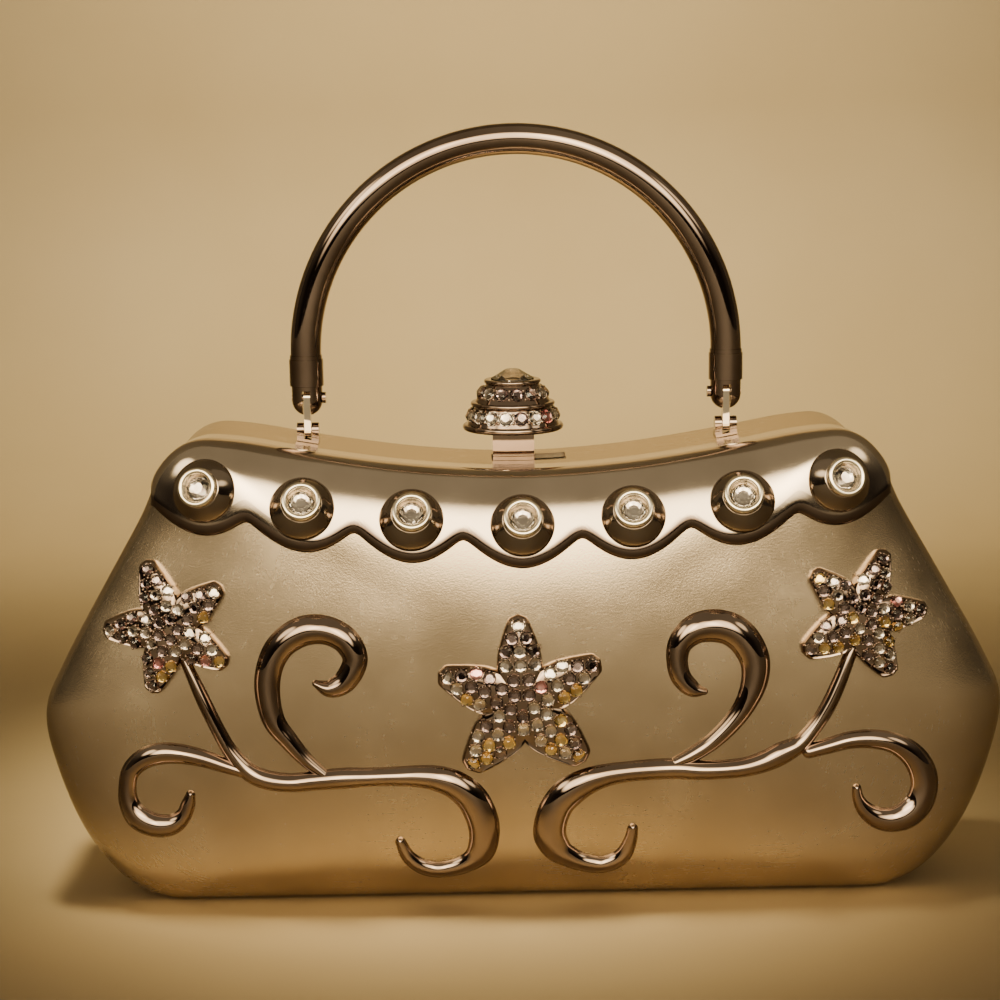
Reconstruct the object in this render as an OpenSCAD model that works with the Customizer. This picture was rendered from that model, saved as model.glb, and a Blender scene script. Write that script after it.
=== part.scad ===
// Evening bag of two metal half shells, hinged along the base, with a sliding knob clasp and a hooped handle.
// X runs along the bag, the front faces -Y, Z is up. The seam lies in the plane Y = 0, the base in Z = 0.

/* [Case] */
// Width of the case at its widest
case_w = 190; // [160:1:220]
// Height of the case at its shoulders
case_h = 93; // [80:1:110]
// Height of the point that the rounding of both faces closes in on
case_mid_z = 43; // [36:1:50]
// Depth of the front half, from the seam to the middle of its face
front_depth = 24; // [20:0.5:30]
// Depth of the back half, from the seam to the middle of its face
back_depth = 28; // [22:0.2:34]
// Depth of the front half's straight wall, before the edge rounds over
wall_depth = 11; // [9:0.5:14]
// Depth of the back half's straight wall, before the edge rounds over
back_wall_depth = 20; // [16:0.5:22]
// Thickness of the shells' metal
shell_t = 1; // [0.8:0.1:1.4]
// Gap between the rims of the closed halves
seam_gap = 0.4; // [0.3:0.1:0.8]

/* [Frames and linings] */
// Width of the polished rim that shows along the seam
rim_w = 1.1; // [0.8:0.1:1.6]
// Height of the rim above the shell
rim_proud = 0.25; // [0:0.05:0.5]
// Depth of each frame, from the seam inwards
frame_depth = 4.5; // [3.5:0.5:6]
// Thickness of the frames' metal
frame_t = 1.4; // [1:0.1:1.8]
// Thickness of the linings
lining_t = 1; // [0.6:0.1:1.4]
// Clearance between fixed pieces that lie on each other
seat_gap = 0.1; // [0.05:0.05:0.2]

/* [Hinge] */
// Radius of the hinge's knuckles
knuckle_r = 1.45; // [1.2:0.05:1.6]
// Radius of the hinge pin
hinge_pin_r = 0.7; // [0.5:0.05:0.9]
// Height of the hinge axis above the base
hinge_z = 1.65; // [1.6:0.05:2]
// Length of the hinge
hinge_l = 116; // [90:2:124]
// Number of knuckles
knuckles = 9; // [5:2:13]
// Gap between neighbouring knuckles
knuckle_gap = 0.3; // [0.2:0.1:0.5]
// Thickness of the hinge leaves
leaf_t = 0.8; // [0.6:0.1:1]
// Room round the knuckles to the shells' edges
knuckle_room = 0.75; // [0.5:0.05:1]

/* [Scalloped border] */
// Distance of the border's ends from the case's sides
border_margin = 23; // [22:0.5:34]
// Thickness of the border above the shell
border_t = 1.4; // [1.2:0.1:2]
// Height of the border at a cusp between two scallops
border_drop = 11.4; // [8:0.2:12]
// Height of the border at the lowest point of a scallop
scallop_drop = 16.3; // [14:0.2:18]
// Rise of the border's lower edge from the middle to the ends
border_rise = 7.2; // [5:0.2:9]
// Distance of the boss centres below the border's top line
boss_drop = 8.4; // [6:0.1:9]
// Distance that the outermost bosses sit higher on the border
boss_end_rise = 1.8; // [0:0.1:2.4]
// Radius of a boss at its foot
boss_r = 6.2; // [5:0.05:6.4]
// Height of a boss
boss_h = 2.9; // [1.8:0.1:3.2]
// Outer radius of the bezel cup on a boss
bezel_r = 3.85; // [3.2:0.05:4]
// Height of a bezel cup
bezel_h = 1.5; // [1.2:0.1:2]
// Thickness of the bezel's wall
bezel_wall = 0.8; // [0.6:0.05:1]
// Radius of the round crystal in a bezel
bezel_stone_r = 2.15; // [1.8:0.05:2.3]
// Height of that crystal
bezel_stone_h = 1; // [0.8:0.1:1.2]

/* [Stars and scrolls] */
// Radius of the middle star, to its tips
star_r = 17.2; // [14:0.2:19]
// Radius of the two side stars, to their tips
side_star_r = 13.5; // [11:0.1:14.4]
// Height of the stars above the face
star_h = 2.2; // [1.6:0.1:2.8]
// Radius of the crystals on the middle star
stone_r = 1.3; // [1.1:0.05:1.35]
// Radius of the crystals on the side stars
side_stone_r = 1.15; // [1:0.05:1.2]
// Height of the crystals on the stars
stone_h = 0.8; // [0.6:0.1:1]
// Distance of the middle between the side stars from the case's middle
relief_shift = -1.6; // [-3:0.2:3]
// Distance of the middle star from there
star_shift = 1; // [-2:0.2:2]
// Height of the middle star's centre, as a share of the case's height
star_z_share = 0.466; // [0.43:0.001:0.52]
// Distance of the side stars from the middle between them, as a share of half the case's width
side_star_x_share = 0.705; // [0.65:0.001:0.74]
// Height of the side stars' centres, as a share of the case's height
side_star_z_share = 0.626; // [0.59:0.001:0.68]
// Turn of the side stars away from upright, in degrees
side_star_turn = 20; // [0:1:36]
// Width of the scrolls at their thickest
scroll_w = 6.6; // [5:0.2:7]
// Height of the scrolls at their thickest
scroll_h = 2.4; // [1.8:0.1:3]

/* [Clasp] */
// Distance of the clasp and the handle behind the seam
carry_y = 9; // [8.5:0.1:9.5]
// Place of the knob at rest, from the middle of the case
knob_x = -1.1; // [-2:0.1:1]
// Travel of the knob along its slot
clasp_travel = 6.2; // [4:0.2:7]
// Width of the knob's stem
stem_w = 8.4; // [7:0.2:9]
// Depth of the knob's stem
stem_d = 5; // [4.6:0.1:5.2]
// Clearance round the stem in its slot
slot_gap = 0.3; // [0.2:0.05:0.4]
// Room behind the stem in its slot
slot_back = 3.2; // [2:0.2:3.4]
// Height of the knob's underside above the case's top middle
knob_lift = 6.2; // [6:0.1:7.4]
// Radius of the knob's lower flange
flange_r = 10.3; // [9.6:0.1:11]
// Thickness of the knob's flange
flange_t = 1.3; // [0.9:0.1:1.4]
// Radius of the knob's middle ring
mid_ring_r = 8.6; // [8.2:0.1:9]
// Radius of the knob's upper ring
top_ring_r = 5.8; // [5.4:0.1:6.2]
// Height of each of the knob's two tiers of crystals
tier_h = 3.6; // [3.3:0.1:3.8]
// Thickness of the knob's rings
ring_t = 0.9; // [0.6:0.1:1.1]
// Radius of the crystals round the knob
knob_stone_r = 1.45; // [1.2:0.05:1.5]
// Number of crystals in the knob's lower row
lower_stones = 18; // [12:1:18]
// Number of crystals in the knob's upper row
upper_stones = 13; // [8:1:13]
// Radius of the faceted crystal on top
crown_r = 4.4; // [4.2:0.1:5]
// Height of the faceted crystal on top
crown_h = 2; // [1.8:0.1:3.4]
// Thickness of the tongue that reaches over the seam from the sliding block
tongue_t = 1.2; // [1:0.1:1.4]
// Depth that the sliding block reaches past the slot, at each end and behind
slide_margin = 0.6; // [0.4:0.1:1]
// Wall thickness of the channel that guides the sliding block
guide_wall = 0.9; // [0.8:0.1:1.2]
// Outer radius of the clasp's coil spring
spring_r = 1.1; // [0.9:0.1:1.2]
// Radius of the spring's wire
spring_wire_r = 0.2; // [0.15:0.05:0.25]
// Length of the spring at rest
spring_l = 11; // [10:0.5:13]
// Number of the spring's curls
spring_curls = 7; // [5:1:9]
// Radius of the screw that joins the knob to the sliding block
knob_screw_r = 1; // [0.8:0.05:1.2]

/* [Handle] */
// Radius of the handle's hoop, to the middle of its tube
hoop_r = 42.6; // [38:0.1:46]
// Distance of the hoop's centre from the case's middle
hoop_x = -0.3; // [-1:0.1:1]
// Radius of the handle's tube
tube_r = 3.1; // [2.6:0.1:3.6]
// Wall thickness of the handle's tube
tube_wall = 0.8; // [0.6:0.1:1.2]
// Radius of the ferrules at the tube's ends
ferrule_r = 3.45; // [3.3:0.05:4]
// Length of the ferrules
ferrule_l = 6.2; // [5:0.2:8]
// Depth that the tube sits in its ferrule
tube_seat = 4; // [3:0.5:4.5]
// Radius of the forks below the ferrules
fork_r = 3.1; // [2.6:0.1:3.1]
// Height of the forks
fork_l = 6.1; // [5.5:0.1:6.6]
// Distance of the middle of a fork's round end below its pin
fork_drop = 0.5; // [0:0.1:1]
// Thickness of the links between the forks and the lugs
link_t = 1.3; // [1:0.1:1.6]
// Half the width of the links
link_r = 1.5; // [1.4:0.1:1.7]
// Distance between the two pins of a link
link_l = 6.6; // [6:0.2:7.2]
// Gap on each side of a link in its fork and in its lug
link_gap = 0.15; // [0.1:0.05:0.25]
// Radius of the handle's four pins
pin_r = 0.7; // [0.5:0.05:0.8]
// Running clearance of the pins
pin_gap = 0.05; // [0.03:0.01:0.08]
// Height of the lower pins above the case's top at the lugs
lug_rise = 2.3; // [2.2:0.1:3]
// Thickness of a lug's ears
ear_t = 1.4; // [1:0.1:1.6]
// Thickness of a lug's foot plate
foot_t = 0.5; // [0.4:0.1:0.6]

/* [Hidden] */

// How far a cut runs past the surface that it cuts
overrun = 0.5;

// Half of the case's outline, from the middle of the top round to the base, as shares of half its
// width and of its height
outline_shares = [
    [0, 0.918], [0.21, 0.930], [0.42, 0.960], [0.59, 0.991], [0.675, 0.990], [0.737, 0.940],
    [0.784, 0.843], [0.869, 0.693], [0.958, 0.532], [1, 0.425], [0.982, 0.300], [0.932, 0.161],
    [0.857, 0.055], [0.775, 0.007], [0.690, 0], [0.530, 0]
];
// Rings of a rounded face, as shares of the outline
round_shares = [0.985, 0.955, 0.91, 0.84, 0.72, 0.52, 0.27];
// How squarely the rounding turns, across the face and along its depth
round_across = 2.2;
round_deep = 2.2;
// Steps of the outline between two of its given points, on the solids and for measuring
outline_steps = 2;
measure_steps = 4;

// Rows of the border down its front, as shares of its height there
border_row_shares = [0.03, 0.1, 0.22, 0.4, 0.65, 0.88, 1];
// Part of the border's thickness that is left at its lower edge
border_edge_share = 0.3;
// Steps of the border along one scallop
scallop_steps = 8;
// How far a boss leans sideways and upwards with the surface that it stands on
boss_lean_share = 1;
boss_droop_share = 1.5;
// Places of the bosses and of the cusps between them, from the middle to one end, as shares of half
// the border's length
boss_place_shares = [0, 0.296, 0.585, 0.843];
cusp_shares = [0.158, 0.447, 0.733];
// How flat the arcs of the scallops are and how round the cusps, and how the border's lower edge and the
// bosses rise
scallop_power = 0.8;
cusp_round = 0.16;
rise_power = 1.4;
boss_rise_power = 2.6;
// How much shallower the scallops are at the ends, and how the border gets thinner there and at the seam
scallop_fade = 0.3;
end_fade = 0.5;
end_power = 6;
seam_fade = 0.6;

// A star's edge between the middle of an arm and a notch: the angle from the arm and the share of its
// radius
star_edge_shares = [[0, 1], [7, 0.965], [13, 0.82], [20, 0.69], [28, 0.58], [36, 0.47]];
// A star's height between its middle and its edge: the share of the way out and the share of its height
star_top_shares = [[0, 1], [0.3, 0.97], [0.62, 0.86], [0.88, 0.62], [1, 0.3]];
star_arms = 5;
// Turn of each arm away from its even place, in degrees, for the left, the middle and the right star; the
// arms follow each other round from the upright one to its left
star_arm_turns = [[-1.6, 3, -0.5, 1.8, 0], [2, -2.5, -2.7, 9.3, 10.4], [-1, -5, -5, 12, 4]];
// Crystals on a star: the share of its radius, how many stand side by side on each arm, and their
// spacing in stone widths
star_row_shares = [[0.885, 1, 1], [0.745, 2, 1.02], [0.6, 3, 1.04], [0.445, 3, 1.04]];
side_row_shares = [[0.865, 1, 1], [0.69, 2, 1.04], [0.51, 3, 1.04]];
// Rings of crystals round a star's middle: the share of its radius and how many
star_ring_shares = [[0.29, 11], [0.135, 5]];
side_ring_shares = [[0.327, 11], [0.152, 5]];
// A crystal's table as a share of its girdle
table_share = 0.6;

// Middle lines of the scrolls: the shares of half the case's width and of its height, and the share of
// the scroll's full width. Each side has a spiral, a stem that starts below its side star and ends in a
// hook beside the middle, and an outer curl
spiral_left_shares = [
    [0.424, 0.509, 0.24], [0.396, 0.499, 0.58], [0.364, 0.515, 0.71], [0.343, 0.559, 0.76],
    [0.361, 0.600, 0.84], [0.401, 0.622, 0.89], [0.447, 0.620, 0.92], [0.490, 0.593, 0.86],
    [0.515, 0.551, 0.81], [0.524, 0.496, 0.78], [0.513, 0.431, 0.7], [0.483, 0.386, 0.6],
    [0.450, 0.345, 0.48], [0.411, 0.311, 0.36]
];
stem_left_shares = [
    [0.693, 0.559, 0.32], [0.674, 0.515, 0.4], [0.656, 0.472, 0.45], [0.626, 0.404, 0.46],
    [0.603, 0.360, 0.5], [0.570, 0.319, 0.6], [0.532, 0.300, 0.64], [0.481, 0.294, 0.62],
    [0.431, 0.299, 0.64], [0.371, 0.304, 0.68], [0.319, 0.306, 0.62], [0.268, 0.307, 0.64],
    [0.217, 0.306, 0.74], [0.176, 0.299, 0.86], [0.140, 0.282, 0.94], [0.110, 0.251, 0.99],
    [0.091, 0.204, 0.98], [0.088, 0.162, 0.92], [0.097, 0.125, 0.86], [0.120, 0.101, 0.71],
    [0.156, 0.085, 0.63], [0.192, 0.082, 0.6], [0.223, 0.094, 0.56], [0.247, 0.119, 0.46],
    [0.261, 0.154, 0.34]
];
curl_left_shares = [
    [0.692, 0.264, 0.3], [0.698, 0.243, 0.44], [0.710, 0.216, 0.5], [0.735, 0.196, 0.7],
    [0.771, 0.192, 0.82], [0.805, 0.207, 0.86], [0.823, 0.239, 0.68], [0.825, 0.276, 0.57],
    [0.816, 0.312, 0.57], [0.790, 0.339, 0.64], [0.753, 0.354, 0.7], [0.710, 0.355, 0.66],
    [0.663, 0.346, 0.58], [0.618, 0.331, 0.5], [0.582, 0.319, 0.44]
];
spiral_right_shares = [
    [0.364, 0.479, 0.24], [0.341, 0.485, 0.52], [0.317, 0.511, 0.62], [0.309, 0.548, 0.66],
    [0.316, 0.583, 0.76], [0.343, 0.610, 0.92], [0.379, 0.618, 1], [0.418, 0.609, 1],
    [0.448, 0.583, 0.97], [0.468, 0.541, 0.91], [0.467, 0.496, 0.82], [0.449, 0.449, 0.68],
    [0.421, 0.409, 0.61], [0.383, 0.371, 0.55], [0.343, 0.344, 0.5], [0.307, 0.327, 0.38]
];
stem_right_shares = [
    [0.673, 0.564, 0.36], [0.661, 0.535, 0.43], [0.641, 0.484, 0.48], [0.620, 0.438, 0.5],
    [0.594, 0.395, 0.5], [0.563, 0.359, 0.58], [0.526, 0.339, 0.74], [0.492, 0.323, 0.7],
    [0.452, 0.312, 0.64], [0.408, 0.308, 0.62], [0.357, 0.308, 0.64], [0.305, 0.313, 0.68],
    [0.253, 0.312, 0.68], [0.204, 0.308, 0.68], [0.162, 0.301, 0.76], [0.125, 0.288, 0.88],
    [0.090, 0.266, 1], [0.065, 0.237, 1], [0.051, 0.201, 1], [0.048, 0.164, 1],
    [0.063, 0.130, 0.9], [0.085, 0.111, 0.77], [0.115, 0.095, 0.68], [0.152, 0.087, 0.64],
    [0.182, 0.096, 0.62], [0.203, 0.117, 0.54], [0.215, 0.151, 0.42], [0.219, 0.177, 0.34]
];
curl_right_shares = [
    [0.684, 0.252, 0.3], [0.689, 0.227, 0.38], [0.704, 0.203, 0.52], [0.730, 0.183, 0.7],
    [0.763, 0.175, 0.86], [0.797, 0.184, 1], [0.821, 0.209, 0.98], [0.830, 0.248, 0.9],
    [0.822, 0.286, 0.84], [0.798, 0.322, 0.75], [0.761, 0.348, 0.65], [0.717, 0.360, 0.62],
    [0.669, 0.361, 0.58], [0.624, 0.351, 0.53], [0.583, 0.341, 0.48]
];
// Section of a scroll: the share of half its width and the share of its height
scroll_section_shares = [[-1, 0], [-0.84, 0.5], [-0.42, 0.92], [0, 1], [0.42, 0.92], [0.84, 0.5], [1, 0]];
// Steps of a scroll between two of its given points
scroll_steps = 2;
// How fast a scroll gets lower as it gets narrower
scroll_power = 0.6;
// Size of the rounded end of a stroke, as a share of the stroke's width there
end_bead_share = 0.93;

outline_points = [for (p = outline_shares) [p[0] * case_w / 2, p[1] * case_h]];
last_point = len(outline_points) - 1;
outline_all = concat(
    outline_points, [for (i = [last_point:-1:1]) [-outline_points[i][0], outline_points[i][1]]]
);
top_z = outline_points[0][1];
rim_end = seam_gap / 2 + rim_w + seat_gap;
hinge_edge = knuckle_r + knuckle_room;
border_start = rim_end + seat_gap;
border_half = case_w / 2 - border_margin;
scallops = 2 * len(boss_place_shares) - 1;
frame_inset = shell_t + seat_gap;
lining_inset = shell_t + 2 * seat_gap;

// Levels of the clasp, from the knob down to the channel inside
knob_z = top_z + knob_lift;
slide_top = top_z - shell_t - 2 * seat_gap;
tongue_top = top_z - frame_inset - frame_t - seat_gap;
slide_z = tongue_top - tongue_t;
guide_z = slide_z - seat_gap - guide_wall;

// The slot's ends, the block that keeps it covered over the whole travel, and the channel round this
slot_x0 = knob_x - stem_w / 2 - slot_gap;
slot_x1 = knob_x + stem_w / 2 + clasp_travel + slot_gap;
slot_y0 = carry_y - stem_d / 2 - slot_gap;
slot_y1 = carry_y + stem_d / 2 + slot_back;
slide_x0 = slot_x0 - clasp_travel - slide_margin;
slide_x1 = slot_x1 + slide_margin;
slide_y0 = frame_depth + slot_gap;
slide_y1 = slot_y1 + slide_margin;
slide_mid_y = (slide_y0 + slide_y1) / 2;
guide_x0 = slide_x0 - slot_gap - guide_wall;
guide_x1 = slide_x1 + spring_l + 2 * seat_gap + guide_wall;
guide_y0 = slide_y0 - slot_gap - guide_wall;
guide_y1 = slide_y1 + slot_gap + guide_wall;

// A smooth curve through the points around p1 and p2, at the share t of the way between these
function spline(p0, p1, p2, p3, t) = let (
    square = 2 * p0 - 5 * p1 + 4 * p2 - p3, cube_part = 3 * p1 - 3 * p2 + p3 - p0
) (2 * p1 + (p2 - p0) * t + square * t * t + cube_part * t * t * t) / 2;

// The closed outline of the case, clockwise as seen from the front; the base stays flat
function outline(steps) = [
    for (i = [0:len(outline_all) - 1]) let (
        n = len(outline_all), p0 = outline_all[(i + n - 1) % n], p1 = outline_all[i],
        p2 = outline_all[(i + 1) % n], p3 = outline_all[(i + 2) % n]
    ) for (j = [0:steps - 1]) let (
        t = j / steps, q = p1[1] + p2[1] == 0 ? p1 + (p2 - p1) * t : spline(p0, p1, p2, p3, t)
    ) [q[0], max(q[1], 0)]
];
solid_outline = outline(outline_steps);
measure_outline = outline(measure_steps);

// The outline moved inwards by a distance along its own normals
function inset(points, distance) = [
    for (i = [0:len(points) - 1]) let (
        n = len(points), along = points[(i + 1) % n] - points[(i + n - 1) % n]
    ) points[i] - distance * [-along[1], along[0]] / norm(along)
];

// Height of the outline's upper part at a place along the case
upper_outline = [
    for (i = [0:(len(solid_outline) - 1) / 2]) if (solid_outline[i][1] > case_mid_z) solid_outline[i]
];
function outline_height(x) = lookup(abs(x), upper_outline);

// Levels of the handle, from the lower pins up to the hoop's centre
lug_z = outline_height(hoop_r + hoop_x) + lug_rise;
fork_pin_z = lug_z + link_l;
fork_z = fork_pin_z - fork_drop - fork_r;
ferrule_z = fork_z + fork_l;
hoop_z = ferrule_z + ferrule_l;

// How far out a place of the face lies, as a share of the way from its middle to the outline
function cross2(a, b) = a[0] * b[1] - a[1] * b[0];
function out_share(x, z) = let (
    d = [x, z] - [0, case_mid_z], reach = norm(d), u = reach > 0 ? d / reach : [0, 1],
    n = len(measure_outline),
    hits = [
        for (i = [0:n - 1]) let (
            a = measure_outline[i] - [0, case_mid_z], b = measure_outline[(i + 1) % n] - [0, case_mid_z],
            e = b - a, den = cross2(u, e)
        ) if (den != 0) let (
            t = cross2(a, e) / den, s = cross2(a, u) / den
        ) if (t > 0 && s >= 0 && s <= 1) t
    ]
) min(1, reach / max(hits));

// Depth of a face at a share of the way out
function round_y(s, wall, depth) =
    wall + (depth - wall) * pow(max(0, 1 - pow(s, round_across)), 1 / round_deep);
function face_y(x, z) = round_y(out_share(x, z), wall_depth, front_depth);

// A point a height above the front face, straight out of it, and the face's outward direction there
function unit(v) = v / norm(v);
function face_normal(x, z, span) = unit([
    (face_y(x - span, z) - face_y(x + span, z)) / (2 * span), -1,
    (face_y(x, z - span) - face_y(x, z + span)) / (2 * span)
]);
function face_point(x, z, height) = [x, -face_y(x, z) - height, z];

// Where a half's edge at the seam starts, further back round the hinge
function edge_y(z) = rim_end + max(0, hinge_edge - rim_end) * max(0, 1 - z / (hinge_z + hinge_edge));

function ring(points, s, y) = [for (p = points) [s * p[0], -y, case_mid_z + s * (p[1] - case_mid_z)]];
function tray_rows(wall, depth, start, in) = let (points = inset(solid_outline, in)) concat(
    [[for (p = points) [p[0], -max(start, edge_y(p[1])), p[1]]]],
    [ring(points, 1, wall)],
    [for (s = round_shares) ring(points, s, round_y(s, wall, depth - in))]
);

// Triangles between two neighbouring rows of a closed ring, seen from outside or from inside
function row_faces(a, b, n, inside) = [
    for (i = [0:n - 1]) let (j = (i + 1) % n) each inside
        ? [[a + i, b + j, a + j], [a + i, b + i, b + j]]
        : [[a + i, a + j, b + j], [a + i, b + j, b + i]]
];
function fan_faces(a, tip, n, inside) = [
    for (i = [0:n - 1]) let (j = (i + 1) % n) inside ? [a + i, tip, a + j] : [a + i, a + j, tip]
];
function end_faces(a, m, inside) = [
    for (j = [1:m - 2]) inside ? [a, a + j, a + j + 1] : [a, a + j + 1, a + j]
];

// One half of a hollow case: its outer and inner surfaces lie at given insets from the case's own
module tray(wall, depth, start, outer_in, inner_in) {
    outer = tray_rows(wall, depth, start, outer_in);
    inner = tray_rows(wall, depth, start, inner_in);
    n = len(solid_outline);
    rows = len(outer);
    outer_tip = 2 * rows * n;
    points = concat(
        [for (r = outer) each r], [for (r = inner) each r],
        [[0, -(depth - outer_in), case_mid_z], [0, -(depth - inner_in), case_mid_z]]
    );
    faces = concat(
        [for (r = [0:rows - 2]) each row_faces(r * n, (r + 1) * n, n, false)],
        fan_faces((rows - 1) * n, outer_tip, n, false),
        [for (r = [0:rows - 2]) each row_faces((rows + r) * n, (rows + r + 1) * n, n, true)],
        fan_faces((2 * rows - 1) * n, outer_tip + 1, n, true),
        row_faces(0, rows * n, n, true)
    );
    polyhedron(points, faces, convexity = 4);
}

// The front half filled up, a clearance larger all round, to trim what lies on it
module front_block(clearance) {
    rows = tray_rows(wall_depth, front_depth, rim_end, -clearance);
    n = len(solid_outline);
    last = len(rows) - 1;
    tip = len(rows) * n;
    points = concat(
        [for (r = rows) each r], [[0, -(front_depth + clearance), case_mid_z], [0, -rim_end, case_mid_z]]
    );
    faces = concat(
        [for (r = [0:last - 1]) each row_faces(r * n, (r + 1) * n, n, false)],
        fan_faces(last * n, tip, n, false), fan_faces(0, tip + 1, n, true)
    );
    polyhedron(points, faces, convexity = 4);
}

// A strip round the top and sides of the seam, with a section given by insets and depths
frame_reach = last_point - 3;
module band(section) {
    n = len(solid_outline);
    m = len(section);
    half = frame_reach * outline_steps;
    insets = [for (s = section) inset(solid_outline, s[0])];
    rows = [for (i = [-half:half]) [
        for (j = [0:m - 1]) let (p = insets[j][(i + n) % n]) [p[0], -section[j][1], p[1]]
    ]];
    last = len(rows) - 1;
    points = [for (r = rows) each r];
    faces = concat(
        [for (r = [0:last - 1]) each row_faces(r * m, (r + 1) * m, m, true)],
        end_faces(0, m, true), end_faces(last * m, m, false)
    );
    polyhedron(points, faces, convexity = 6);
}

module frame_band() {
    y0 = seam_gap / 2;
    y1 = y0 + rim_w;
    deep = frame_inset + frame_t;
    band([
        [deep, y0], [-rim_proud, y0], [-rim_proud, y1], [frame_inset, y1], [frame_inset, frame_depth],
        [deep, frame_depth]
    ]);
}

module front_shell() {
    color("silver") tray(wall_depth, front_depth, rim_end, 0, shell_t);
}

module front_frame() {
    color("gainsboro") frame_band();
}

module front_lining() {
    color("dimgray")
        tray(wall_depth, front_depth, frame_depth + seat_gap, lining_inset, lining_inset + lining_t);
}

// The slot that the knob's stem slides in
module slot_room() {
    translate([slot_x0, slot_y0, tongue_top])
        cube([slot_x1 - slot_x0, slot_y1 - slot_y0, knob_lift + top_z - tongue_top]);
}

module back_shell() {
    color("silver") difference() {
        mirror([0, 1, 0]) tray(back_wall_depth, back_depth, rim_end, 0, shell_t);
        slot_room();
    }
}

module back_frame() {
    color("gainsboro") difference() {
        mirror([0, 1, 0]) frame_band();
        slot_room();
    }
}

module back_lining() {
    color("dimgray") difference() {
        mirror([0, 1, 0])
            tray(back_wall_depth, back_depth, frame_depth + seat_gap, lining_inset, lining_inset + lining_t);
        translate([guide_x0 - seat_gap, 0, guide_z - seat_gap])
            cube([guide_x1 - guide_x0 + 2 * seat_gap, guide_y1 + seat_gap, case_h - guide_z]);
    }
}

// Knuckles of one leaf: the back leaf has the outer ones
module hinge_leaf(side, first) {
    pitch = hinge_l / knuckles;
    plate_y = knuckle_r + knuckle_gap;
    plate_z = shell_t + seat_gap;
    difference() {
        union() {
            translate([-hinge_l / 2, side > 0 ? plate_y : -frame_depth, plate_z])
                cube([hinge_l, frame_depth - plate_y, leaf_t]);
            for (i = [first:2:knuckles - 1]) translate([-hinge_l / 2 + i * pitch + knuckle_gap / 2, 0, 0]) {
                translate([0, 0, hinge_z]) rotate([0, 90, 0])
                    cylinder(r = knuckle_r, h = pitch - knuckle_gap, $fn = 32);
                translate([0, side > 0 ? 0 : -plate_y, plate_z]) cube([pitch - knuckle_gap, plate_y, leaf_t]);
            }
        }
        translate([-hinge_l / 2 - overrun, 0, hinge_z]) rotate([0, 90, 0])
            cylinder(r = hinge_pin_r + pin_gap, h = hinge_l + 2 * overrun, $fn = 32);
    }
}

module hinge_leaf_front() {
    color("gainsboro") hinge_leaf(-1, 1);
}

module hinge_leaf_back() {
    color("gainsboro") hinge_leaf(1, 0);
}

module hinge_pin() {
    color("silver") translate([-hinge_l / 2, 0, hinge_z]) rotate([0, 90, 0])
        cylinder(r = hinge_pin_r, h = hinge_l, $fn = 32);
}

// The border's top line and its scalloped lower edge along the case
function border_line(x) = top_z + border_rise * pow(abs(x) / border_half, rise_power);
// The scallops counted from the middle, where a half is a cusp, and the share of half the length there
scallop_counts = concat(
    [[0, 0]], [for (i = [0:len(cusp_shares) - 1]) [i + 1 / 2, cusp_shares[i]]], [[scallops / 2, 1]]
);
function scallop_count(x) = lookup(abs(x) / border_half, [for (c = scallop_counts) [c[1], c[0]]]);
function scallop_place(count) = border_half * sign(count) * lookup(abs(count), scallop_counts);
function scallop_arc(count) = let (
    low = pow(cusp_round, scallop_power), high = pow(1 + pow(cusp_round, 2), scallop_power / 2)
) (pow(pow(cos(180 * count), 2) + pow(cusp_round, 2), scallop_power / 2) - low) / (high - low);
function border_edge(x) = let (fade = 1 - scallop_fade * pow(x / border_half, 2))
    border_line(x) - border_drop - (scallop_drop - border_drop) * fade * scallop_arc(scallop_count(x));
function border_height(x) = border_t * (1 - end_fade * pow(abs(x) / border_half, end_power));

// One column of the border's surface a height above the shell: over the wall, then down the face
function border_column(x, height, edge_height) = let (
    z0 = outline_height(x), span = shell_t, z1 = min(border_edge(x), z0 - border_t),
    up = unit([outline_height(x - span) - outline_height(x + span), 2 * span])
) concat(
    [for (y = [border_start, wall_depth / 2, wall_depth]) let (
        h = max(seat_gap, height * (1 - seam_fade * (1 - (y - border_start) / (wall_depth - border_start))))
    ) [x + h * up[0], -y, z0 + h * up[1]]],
    [
        for (s = border_row_shares) let (
            z = z0 + (z1 - z0) * s, inner = max(out_share(x, z), round_shares[0]),
            h = s == 1 ? edge_height : height,
            lean = face_normal(x, z, span), flat = unit([up[0], -1, up[1]]),
            n = s == border_row_shares[0] ? unit(lean + flat) : lean
        ) face_point(x, z, 0) + h * n
    ]
);

module border_strip() {
    half = scallops * scallop_steps / 2;
    stations = [for (i = [-half:half]) scallop_place(i / scallop_steps)];
    columns = [
        for (x = stations) let (low = border_column(x, seat_gap, seat_gap))
            concat(border_column(x, border_height(x), border_height(x) * border_edge_share),
                [for (i = [len(low) - 1:-1:0]) low[i]])
    ];
    m = len(columns[0]);
    last = len(columns) - 1;
    faces = concat(
        [for (r = [0:last - 1]) each row_faces(r * m, (r + 1) * m, m, true)],
        [for (j = [1:m / 2 - 1]) each [[j - 1, j, m - 1 - j], [j - 1, m - 1 - j, m - j]]],
        [for (j = [1:m / 2 - 1]) let (a = last * m) each [
            [a + j - 1, a + m - 1 - j, a + j], [a + j - 1, a + m - j, a + m - 1 - j]
        ]]
    );
    polyhedron([for (c = columns) each c], faces, convexity = 6);
}

// Foot and direction of each boss, on the border's outer surface
boss_places = [for (i = [-(scallops - 1) / 2:(scallops - 1) / 2]) let (
    x = sign(i) * boss_place_shares[abs(i)] * border_half,
    rise = boss_end_rise * pow(abs(2 * i / (scallops - 1)), boss_rise_power),
    z = border_line(x) - boss_drop + rise,
    lean = face_normal(x, z, boss_r / 2)
) [
    face_point(x, z, 0) + border_height(x) * lean,
    unit([boss_lean_share * lean[0], lean[1], boss_droop_share * lean[2]])
]];

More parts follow.
